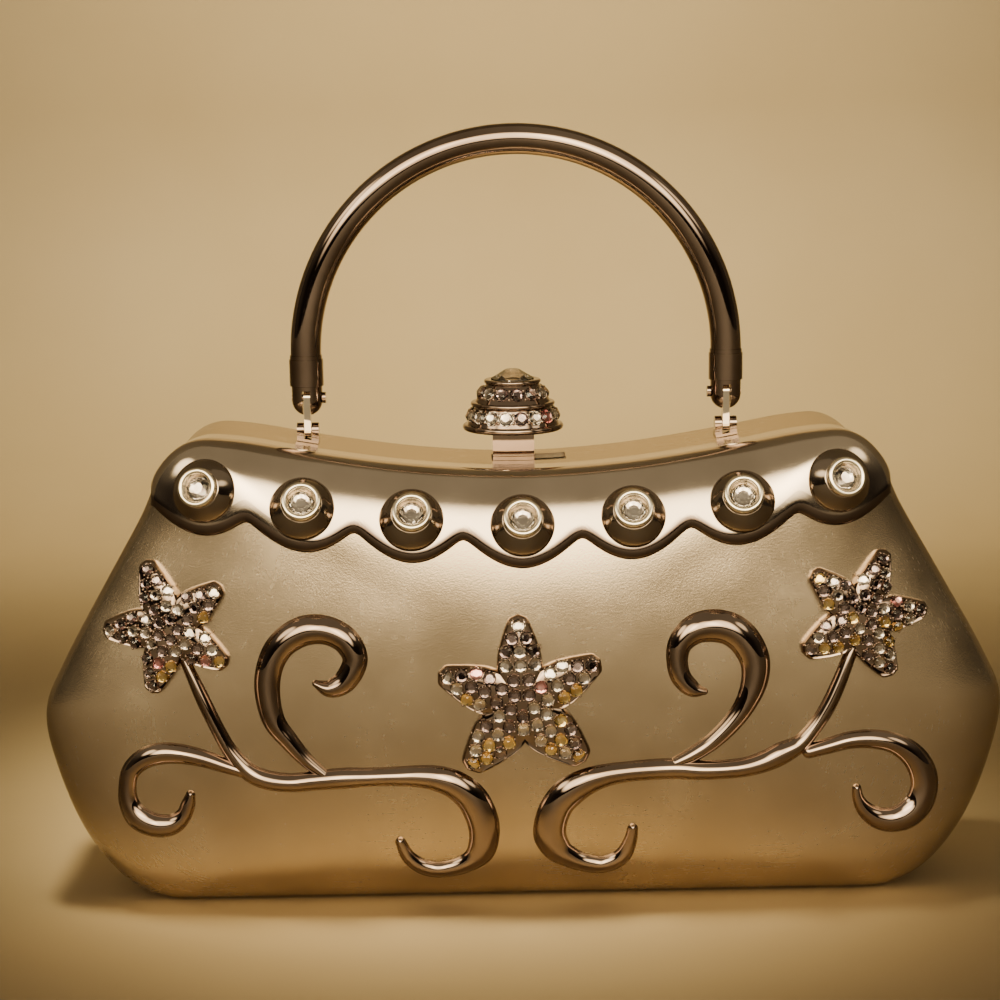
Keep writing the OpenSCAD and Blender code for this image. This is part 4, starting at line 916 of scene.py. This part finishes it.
def boss_place(i):
    """The foot of a boss, counted from the middle one, with its axis leaning off the face."""
    x = math.copysign(BOSS_PLACE_SHARES[abs(i)] * BORDER_HALF, i) if i else 0.0
    z = border_line(x) - BOSS_DROP + BOSS_END_RISE * (abs(2 * i) / (SCALLOPS - 1)) ** BOSS_RISE_POWER
    lean = outwards(face_y, x, z, BOSS_R / 2)
    foot = face_point(x, z, 0) + border_height(x) * lean
    return aim(foot, (BOSS_LEAN * lean[0], lean[1], BOSS_DROOP * lean[2]))


# Profiles of a boss and its bezel, as distances from their middle and from the boss's foot
BOSS_PROFILE = [
    (BOSS_R - 0.1, -BORDER_T), (BOSS_R, -0.3), (BOSS_R, 0), (BOSS_R - 0.05, 0.25), (BOSS_R - 0.3, 0.62),
    (BOSS_R - 0.75, 1.15), (BOSS_R - 1.25, 1.7), (BOSS_R - 1.75, 2.2), (BOSS_R - 2.15, 2.56),
    (BEZEL_R + 0.03, 2.74), (BEZEL_R - 0.3, 2.76), (0, 1.4),
]
BEZEL_PROFILE = [
    (BEZEL_R - 0.35, 2.6), (BEZEL_R - 0.08, 2.74), (BEZEL_R, 2.9), (BEZEL_R, 3.8), (BEZEL_R - 0.08, 4.08),
    (BEZEL_R - 0.3, 4.28), (BEZEL_R - 0.62, 4.36), (BEZEL_R - 0.94, 4.28), (BEZEL_R - 1.14, 4.08),
    (BEZEL_R - 1.22, 3.7), (BEZEL_STONE_R + 0.02, 3.0), (BEZEL_STONE_R, 2.1), (0, 2),
]
BEZEL_FOIL = [(BEZEL_STONE_R - 0.02, 2.8), (1.2, 2.3), (0, 2.1)]
BEZEL_STONE_H = 1.2
BEZEL_STONE_Z = 2.75
BOSS_PLACES = [boss_place(i) for i in range(-(SCALLOPS // 2), SCALLOPS // 2 + 1)]


def scallop_border():
    """The border with its bosses, with a painted dark reflection along its rounded edge and over the bosses.
    """
    border, painted_shades = border_shape()
    for place in BOSS_PLACES:
        border.add(*lathe(BOSS_PROFILE, BOSS_SIDES), place=place)
    form = border.build_form("scallop_border", "front_case", [BORDER_METAL], "polished_nickel", sharp=50)
    painted_shades = np.concatenate([painted_shades, np.full(len(border.points) - len(painted_shades), BOSS_PAINTED_SHADE)])
    form.data.attributes.new("edge", "FLOAT", "POINT").data.foreach_set("value", painted_shades)


def bezels():
    """Cups on the bosses, with a stone over a foil in each."""
    cups = Shape()
    gems = Shape()
    foils = Shape()
    for place in BOSS_PLACES:
        cups.add(*lathe(BEZEL_PROFILE, BOSS_SIDES), place=place)
        gems.add(*brilliant(BEZEL_STONE_R, BEZEL_STONE_H, TABLE_SHARE), smooth=False,
                 place=place @ Matrix.Translation((0, 0, BEZEL_STONE_Z)))
        foils.add(*lathe(BEZEL_FOIL, STONE_SIDES), smooth=False, place=place)
    cups.build_form("bezel_cups", "front_case", [BEZEL_METAL], "polished_nickel", sharp=60)
    gems.build_form("bezel_crystals", "front_case", [CRYSTAL], "crystal", sharp=1)
    foils.build("bezel_foils", "front_case", FOILS, sharp=1)


scallop_border()
bezels()


# Scrolls

SECTION = np.linspace(-1, 1, 17)
SECTION_HEIGHT = (1 - np.abs(SECTION) ** 1.8) ** 0.8
SCROLL_SINK = 0.12
CAP_STEPS = 6


def stroke(shape, shares, side):
    """A raised stroke with round ends along a smooth line on the face."""
    line = catmull_rom([(side * x * CASE_W / 2, z * CASE_H, w * SCROLL_W) for x, z, w in shares], 8, False)

    def cap(row, ahead):
        """Rows of a stroke's rounded end, narrower and narrower."""
        steps = np.linspace(0, 1, CAP_STEPS + 1)[1:]
        r = row[2] / 2
        along = ahead[:2] / np.linalg.norm(ahead[:2])
        widths = [row[2] * math.sqrt(max(0.0, 1 - t * t)) for t in steps]
        return [np.array([*(row[:2] + along * r * t), width]) for t, width in zip(steps, widths)]

    start = cap(line[0], line[0] - line[1])[::-1]
    end = cap(line[-1], line[-1] - line[-2])
    line = np.array(start + list(line) + end)
    along = np.gradient(line[:, :2], axis=0)
    along /= np.linalg.norm(along, axis=1)[:, None]
    across = np.stack([along[:, 1], -along[:, 0]], 1)
    tall = SCROLL_H * (np.maximum(line[:, 2], 0.02) / SCROLL_W) ** SCROLL_POWER
    for k in range(CAP_STEPS):
        fade = math.sqrt(max(0.02, 1 - ((CAP_STEPS - k) / CAP_STEPS) ** 2))
        tall[k] = tall[CAP_STEPS] * fade
        tall[-1 - k] = tall[-1 - CAP_STEPS] * fade
    x = line[:, 0, None] + across[:, 0, None] * SECTION * line[:, 2, None] / 2
    z = line[:, 1, None] + across[:, 1, None] * SECTION * line[:, 2, None] / 2
    h = tall[:, None] * SECTION_HEIGHT - SCROLL_SINK
    shape.add(face_point(x, z, h), grid_faces(len(line), len(SECTION), False))


def scroll(side, name, strokes):
    """The strokes of one side as one piece."""
    shape = Shape()
    for shares in strokes:
        stroke(shape, shares, side)
    shape.build_form("scroll_" + name, "front_case", [PAINTED_SHADE_NICKEL], "polished_nickel", sharp=80)


scroll(-1, "left", (SPIRAL_LEFT, STEM_LEFT, CURL_LEFT))
scroll(1, "right", (SPIRAL_RIGHT, STEM_RIGHT, CURL_RIGHT))


# Stars

ARM_STEP = 360 / STAR_ARMS


def star_upright(side):
    """Angle of the arm that points up."""
    return 90 - STAR_TURN[side] + ARM_TURNS[side][0]


def star_spans(side):
    """Angles from the upright arm to all arms, counted round to it again."""
    turns = ARM_TURNS[side]
    return [ARM_STEP * k + (turns[k] - turns[0] if k < STAR_ARMS else 0) for k in range(STAR_ARMS + 1)]


def star_angle(side, count):
    """Angle at a count of arms, whole or not, from the upright one."""
    return np.radians(star_upright(side) + np.interp(count, range(STAR_ARMS + 1), star_spans(side)))


def star_edge(side, count):
    """Distance of the star's edge from its middle."""
    part = count - np.floor(count)
    angles, shares = zip(*STAR_EDGE)
    return STAR_R[side] * np.interp(ARM_STEP * np.minimum(part, 1 - part), angles, shares)


def star_rise(side, x, z):
    """Height of the star's top over the face."""
    cx, cz = STAR_PLACE[side]
    angle = (np.degrees(np.arctan2(z - cz, x - cx)) - star_upright(side)) % 360
    count = np.interp(angle, star_spans(side), range(STAR_ARMS + 1))
    shares, heights = zip(*STAR_TOP)
    return STAR_H * np.interp(np.hypot(x - cx, z - cz) / star_edge(side, count), shares, heights)


def star_lean(side, x, z, span):
    """Direction outwards from the star's top."""
    return outwards(lambda px, pz: face_y(px, pz) - star_rise(side, px, pz), x, z, span)


def star_stones(side):
    """Places of the stones: rows along each arm, then rings round the middle."""
    r = STAR_STONE_R[side]
    rows = SIDE_STAR_ROWS if side else STAR_ROWS
    rings = SIDE_STAR_RINGS if side else STAR_RINGS
    centre = np.array(STAR_PLACE[side])
    places = []
    for arm in range(STAR_ARMS):
        a = star_angle(side, arm)
        u = np.array([math.cos(a), math.sin(a)])
        v = np.array([-u[1], u[0]])
        for share, count, pitch in rows:
            for i in range(count):
                places.append(centre + u * share * STAR_R[side] + v * (i - (count - 1) / 2) * 2 * r * pitch)
    for share, count in rings:
        for i in range(count):
            a = math.radians(star_upright(side) + 360 / count * (i + 0.5))
            places.append(centre + share * STAR_R[side] * np.array([math.cos(a), math.sin(a)]))
    return places


def star_body(side):
    """The star's domed plate."""
    cx, cz = STAR_PLACE[side]
    counts = np.arange(0, STAR_ARMS, 1 / ARM_COLUMNS)
    turns = star_angle(side, counts)
    reach = star_edge(side, counts)
    rows = []
    for share, h in STAR_SURFACE:
        x = cx + np.cos(turns) * reach * share
        z = cz + np.sin(turns) * reach * share
        tops = star_rise(side, x, z) if share < STAR_RIM_SHARE else STAR_H * h
        rows.append(face_point(x, z, tops))
    n = len(counts)
    points = np.concatenate(rows + [face_point([cx], [cz], STAR_H)])
    last_row = (len(rows) - 1) * n
    middle = [(last_row + k, last_row + (k + 1) % n, len(points) - 1) for k in range(n)]
    body = Shape()
    body.add(points, grid_faces(len(rows), n, True) + middle)
    return body


def bead_spots(place, r):
    """Four places for beads round a stone."""
    out = r + BEAD_OUT
    for k in range(4):
        a = math.radians(45 + 90 * k)
        yield np.array(place @ Vector((out * math.cos(a), out * math.sin(a), BEAD_UP)))


def star(side, name):
    """A star set with stones over foils, with small beads between the stones."""
    body = star_body(side)
    stones = Shape()
    seats = Shape()
    r = STAR_STONE_R[side]
    seat = [(r + 0.06, 0.12), (r + 0.04, 0.02), (r * 0.5, -0.25), (0, -0.35)]
    beads = []
    for x, z in star_stones(side):
        lean = star_lean(side, x, z, r * 2 / 3)
        foot = face_point(x, z, star_rise(side, x, z))
        place = aim(foot + STONE_LIFT * lean, lean)
        # Stones that face down mostly get gold foil: a painted reflection of a gold surface below them
        foil = pick_foil(LOW_FOILS_PAINTED_GOLD if lean[2] < FACES_DOWN else HIGH_FOILS)
        stones.add(*brilliant(r, STONE_H, STAR_TABLE_SHARE), smooth=False, place=place)
        seats.add(*lathe(seat, STONE_SIDES), smooth=False, place=place, finish=foil)
        for spot in bead_spots(place, r):
            if all(np.linalg.norm(spot - b) > BEAD_GAP for b in beads):
                beads.append(spot)
    for spot in beads:
        body.add(*ball(STAR_BEAD_R, 5, 8), place=Matrix.Translation(Vector(spot)))
    body.build_form("star_" + name, "front_case", [PAINTED_SHADE_NICKEL], "polished_nickel", sharp=50)
    stones.build_form("star_" + name + "_crystals", "front_case", [CRYSTAL], "crystal", sharp=1)
    seats.build("star_" + name + "_foils", "front_case", FOILS, sharp=1)


for side, name in ((-1, "left"), (0, "centre"), (1, "right")):
    star(side, name)


# Knob

KNOB_Z = TOP_Z + KNOB_LIFT
MID_RING = FLANGE_T + TIER_H
UPPER_TIER = MID_RING + RING_T
TOP_RING = UPPER_TIER + TIER_H
KNOB_TOP = TOP_RING + RING_T
KNOB_PLACE = Matrix.Translation((KNOB_X, CARRY_Y, KNOB_Z))

FOOT_R = FLANGE_R - RING_T
MID_R = MID_RING_R - RING_T
TOP_R = TOP_RING_R - RING_T


def ring_profile(inner, outer, low, high):
    """The rounded rim of a ring, from its underside to its top."""
    turns = np.linspace(-math.pi / 2, math.pi / 2, 9)
    half = (high - low) / 2
    bulge = [(outer - half * (1 - math.cos(a)), low + half * (1 + math.sin(a))) for a in turns]
    return [(inner, low), *bulge, (inner, high)]


KNOB_PROFILE = [
    (STEM_W / 2, 0.05), *ring_profile(STEM_W / 2 + 0.2, FLANGE_R, 0, FLANGE_T)[:-1], (FOOT_R, FLANGE_T),
    *ring_profile(MID_R, MID_RING_R, MID_RING, UPPER_TIER),
    *ring_profile(CROWN_R - 0.3, TOP_RING_R, TOP_RING, KNOB_TOP)[1:],
    (CROWN_R - 0.8, KNOB_TOP - 0.4), (0, KNOB_TOP - 1.4),
]
KNOB_SEAT = [(KNOB_STONE_R + 0.1, 0.14), (KNOB_STONE_R + 0.05, 0), (0.6, -0.3), (0, -0.4)]
CROWN_PROFILE = [(0, -1.1), (CROWN_R - 0.1, 0), (CROWN_R, 0.15), (0.3 * CROWN_R, CROWN_H), (0, CROWN_H)]
CROWN_SEAT = [(CROWN_R - 0.35, 0.02), (CROWN_R - 0.85, -0.36), (0, -1.3)]


def knob_row(dome, name, count, r0, z0, r1, z1):
    """Stones in a row on a cone of the knob, from radius r0 at z0 to r1 at z1, with beads between them."""
    slope = math.atan2(r0 - r1, z1 - z0)
    stones = Shape()
    seats = Shape()
    for i in range(count):
        turn = 2 * math.pi * i / count
        out = Vector((math.cos(turn) * math.cos(slope), math.sin(turn) * math.cos(slope), math.sin(slope)))
        middle = Vector(((r0 + r1) / 2 * math.cos(turn), (r0 + r1) / 2 * math.sin(turn), (z0 + z1) / 2))
        place = KNOB_PLACE @ aim(middle + KNOB_STONE_LIFT * out, out)
        stones.add(*brilliant(KNOB_STONE_R, STONE_H, TABLE_SHARE), smooth=False, place=place)
        seats.add(*lathe(KNOB_SEAT, STONE_SIDES), smooth=False, place=place, finish=pick_foil(KNOB_FOILS))
        half = turn + math.pi / count
        for height in KNOB_BEAD_SHARES:
            r = r0 + (r1 - r0) * height + 0.1
            spot = KNOB_PLACE @ Vector((r * math.cos(half), r * math.sin(half), z0 + (z1 - z0) * height))
            dome.add(*ball(KNOB_BEAD_R, 6, 8), place=Matrix.Translation(spot))
    stones.build_form(name, "clasp", [CRYSTAL], "crystal", sharp=1)
    seats.build(name + "_foils", "clasp", FOILS, sharp=1)


def knob_dome():
    """The knob's stepped body with its two rows of stones."""
    dome = Shape()
    dome.add(*lathe(KNOB_PROFILE, KNOB_SIDES), place=KNOB_PLACE)
    knob_row(dome, "knob_lower_crystals", LOWER_STONES, FOOT_R, FLANGE_T, MID_R, MID_RING)
    knob_row(dome, "knob_upper_crystals", UPPER_STONES, MID_R, UPPER_TIER, TOP_R, TOP_RING)
    dome.build_form("knob_dome", "clasp", [PAINTED_SHADE_NICKEL], "polished_nickel", sharp=45)


def knob_crown():
    """The large stone on the knob, over its foil."""
    place = KNOB_PLACE @ Matrix.Translation((0, 0, KNOB_TOP))
    foil = Shape()
    foil.add(*lathe(CROWN_SEAT, STONE_SIDES), smooth=False, place=place)
    foil.build("knob_crown_foil", "clasp", FOILS[:1], sharp=1)
    crown = Shape()
    crown.add(*lathe(CROWN_PROFILE, STONE_SIDES), smooth=False, place=place)
    crown.build_form("knob_crown_crystal", "clasp", [CRYSTAL], "crystal", sharp=1)


knob_dome()
knob_crown()


# Handle and the clasp's spring

def sweep(path, across, radius, segments):
    """A tube along a path, with a pair of directions across it at each point."""
    angles = np.linspace(0, 2 * math.pi, segments, endpoint=False)
    points = [
        p + radius * (math.cos(a) * u + math.sin(a) * v)
        for p, (u, v) in zip(path, across) for a in angles
    ]
    shape = Shape()
    shape.add(points, grid_faces(len(path), segments, True))
    return shape


def handle_tube():
    """The hoop, with both of its ends seated in the ferrules."""
    hoop_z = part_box("ferrule_left")[0][2] / MM + FERRULE_L
    end_z = hoop_z - TUBE_SEAT + TUBE_END_GAP
    ahead = np.array([0, 1.0, 0])
    path = [np.array([HOOP_X + HOOP_R, CARRY_Y, end_z])]
    across = [(np.array([1.0, 0, 0]), ahead)]
    for a in np.radians(np.linspace(0, 180, HOOP_STEPS + 1)):
        out = np.array([math.cos(a), 0, math.sin(a)])
        path.append(np.array([HOOP_X, CARRY_Y, hoop_z]) + HOOP_R * out)
        across.append((out, ahead))
    path.append(np.array([HOOP_X - HOOP_R, CARRY_Y, end_z]))
    across.append((np.array([-1.0, 0, 0]), ahead))
    tube = sweep(path, across, TUBE_R, TUBE_SIDES)
    tube.build_form("handle_tube", "handle", [PAINTED_SHADE_NICKEL], "polished_nickel", sharp=60)


def clasp_spring():
    """The clasp's coil, at the length of its node; the real coil shortens as the knob slides."""
    spring_low, spring_high = (np.array(corner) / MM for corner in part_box("clasp_spring"))
    spring_middle = (spring_low + spring_high) / 2
    coil_r = (spring_high[2] - spring_low[2]) / 2 - SPRING_WIRE_R
    coil_l = spring_high[0] - spring_low[0] - 2 * SPRING_WIRE_R
    path = []
    across = []
    for share in np.linspace(0, 1, CURL_STEPS * SPRING_CURLS + 1):
        turn = 2 * math.pi * SPRING_CURLS * share
        out = np.array([0, math.cos(turn), math.sin(turn)])
        start_x = spring_low[0] + SPRING_WIRE_R + share * coil_l
        path.append(np.array([start_x, spring_middle[1], spring_middle[2]]) + coil_r * out)
        across.append((out, np.array([1.0, 0, 0])))
    coil = sweep(path, across, SPRING_WIRE_R, WIRE_SIDES)
    spring = coil.build_form("clasp_spring", "back_case", [STEEL], "spring_steel", sharp=60)
    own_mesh(spring)


handle_tube()
clasp_spring()

for node in ("hinge_leaf_front", "hinge_leaf_back", "hinge_pin", "knob_screw", "link_left", "link_right"):
    finish_node(node, POLISHED)
# These fittings take the darkened nickel, whose darkness is a painted dark reflection
for node in ("knob_stem", "lug_left", "lug_right", "lug_pins", "fork_left", "fork_right", "fork_pins",
             "ferrule_left", "ferrule_right"):
    finish_node(node, PAINTED_SHADE_NICKEL)
for node in ("striker", "clasp_guide", "clasp_slide"):
    finish_node(node, STEEL)


# Camera, light and stage

SENSOR_W = 36
FOCAL_PIXELS = 2022.7
PICTURE_PIXELS = 1000
CAMERA_PLACE = (-7.47, -400.0, 153.34)
CAMERA_YAW = 0.487
CAMERA_PITCH = -10.604
CAMERA_ROLL = -0.873
WARM = (1.0, 0.82, 0.52)


def look(position, yaw, pitch, roll):
    """A camera pose; yaw turns to the right, pitch up, roll about the line of sight."""
    yaw, pitch, roll = map(math.radians, (yaw, pitch, roll))
    forward = Vector((math.sin(yaw) * math.cos(pitch), math.cos(yaw) * math.cos(pitch), math.sin(pitch)))
    right = Vector((math.cos(yaw), -math.sin(yaw), 0))
    up = right.cross(forward)
    r = math.cos(roll) * right + math.sin(roll) * up
    u = -math.sin(roll) * right + math.cos(roll) * up
    m = Matrix((r, u, -forward)).transposed().to_4x4()
    m.translation = Vector(position) * MM
    return m


def photo_camera():
    """The camera that the photograph was taken with, as far as the picture tells."""
    data = bpy.data.cameras.new("camera")
    data.sensor_width = SENSOR_W
    data.lens = FOCAL_PIXELS / PICTURE_PIXELS * SENSOR_W
    data.clip_start = 0.01
    camera = add_object("camera", data)
    camera.matrix_world = look(CAMERA_PLACE, CAMERA_YAW, CAMERA_PITCH, CAMERA_ROLL)
    bpy.context.scene.camera = camera


def area_light(name, position, target, size, power, spread_angle):
    """A rectangular light that faces its target and doesn't show in the metal."""
    data = bpy.data.lights.new(name, "AREA")
    data.shape = "RECTANGLE"
    data.size, data.size_y = size[0] * MM, size[1] * MM
    data.energy = power
    data.color = WARM
    data.spread = math.radians(spread_angle)
    obj = add_object(name, data)
    direction = Vector(target) - Vector(position)
    obj.rotation_euler = direction.to_track_quat("-Z", "Y").to_euler()
    obj.location = Vector(position) * MM
    obj.visible_glossy = False


photo_camera()
area_light("key", (-70, 10, 460), (-20, 46, 0), (110, 80), 0.16, 26)
area_light("wall_wash", (0, 250, 560), (0, 490, 110), (420, 200), 1.0, 72)

# Soft surroundings: how far round from the front and how high each glow is, where it ends and is full, all in
# degrees, and its strength
GLOWS = [
    (0, 90, 78, 38, 0.36),
    (0, 26, 24, 8, 8.5),
    (-28, 29, 22, 6, 9),
    (25, 29, 22, 6, 8),
    (-62, 34, 13, 4, 5),
    (66, 34, 11, 4, 3),
    (-100, 5, 45, 10, 0.04),
    (100, 5, 45, 10, 0.04),
]
ROOM = (0.016, 0.011, 0.008)
STAGE_LOW = (0.61, 0.475, 0.25)
STAGE_HIGH = (0.65, 0.515, 0.285)
STAGE_HALF = 4000
BEND_Y = 330
BEND_R = 160
WALL_TOP = 2500


def soft_glow(tree, direction, turn, rise, end, full, strength):
    """Brightness of one glow by the direction that is looked in."""
    turn, rise = math.radians(turn), math.radians(rise)
    middle = (math.sin(turn) * math.cos(rise), -math.cos(turn) * math.cos(rise), math.sin(rise))
    near = add_node(tree, "VectorMath", {0: direction, 1: middle}, "DOT_PRODUCT").outputs["Value"]
    low = math.cos(math.radians(end))
    high = math.cos(math.radians(full))
    inputs = {"Value": near, "From Min": low, "From Max": high, "To Max": strength}
    glow = add_node(tree, "MapRange", inputs)
    glow.interpolation_type = "SMOOTHSTEP"
    return glow.outputs["Result"]


def studio_world():
    """Warm glows in a dark room, which the metal and the stones mirror."""
    world = bpy.data.worlds.new("studio")
    world.use_nodes = True
    tree = world.node_tree
    direction = tree.nodes.new("ShaderNodeTexCoord").outputs["Generated"]
    total, *others = [soft_glow(tree, direction, *glow) for glow in GLOWS]
    for other in others:
        total = calculate(tree, "ADD", total, other)
    colour = add_node(tree, "VectorMath", {0: total, 1: WARM, 2: ROOM}, "MULTIPLY_ADD")
    tree.links.new(colour.outputs["Vector"], tree.nodes["Background"].inputs["Color"])
    bpy.context.scene.world = world
    # The matt stage is lit by the lights alone, so that the metal has dark surroundings below the glows
    world.cycles_visibility.diffuse = False


studio_world()


def stage_material():
    """Matt, warm and pale, with faint grain."""
    material, tree, shader = new_material("stage_pale")
    place = object_place(tree)
    cloud = spread(tree, noise(tree, place, 12, 4), 0, 1)
    tree.links.new(tint(tree, cloud, STAGE_LOW, STAGE_HIGH), shader.inputs["Base Color"])
    shader.inputs["Roughness"].default_value = 0.7
    bump(tree, shader, noise(tree, place, 900, 3), 0.05, 0.0002)
    return material


def pale_stage():
    """A floor that bends up into a wall behind the object."""
    turns = [math.radians(a) for a in range(10, 91, 10)]
    bend = [(BEND_Y + BEND_R * math.sin(a), BEND_R - BEND_R * math.cos(a)) for a in turns]
    profile = [(-STAGE_HALF, 0), (-900, 0), (-100, 0), (BEND_Y, 0), *bend, (BEND_Y + BEND_R, WALL_TOP)]
    points = [(x * MM, y * MM, z * MM) for x in (-STAGE_HALF, STAGE_HALF) for y, z in profile]
    backdrop = bpy.data.meshes.new("backdrop")
    backdrop.from_pydata(points, [], grid_faces(2, len(profile), False))
    backdrop.polygons.foreach_set("use_smooth", [True] * len(backdrop.polygons))
    backdrop.materials.append(stage_material())
    stage = add_object("backdrop", backdrop)


pale_stage()
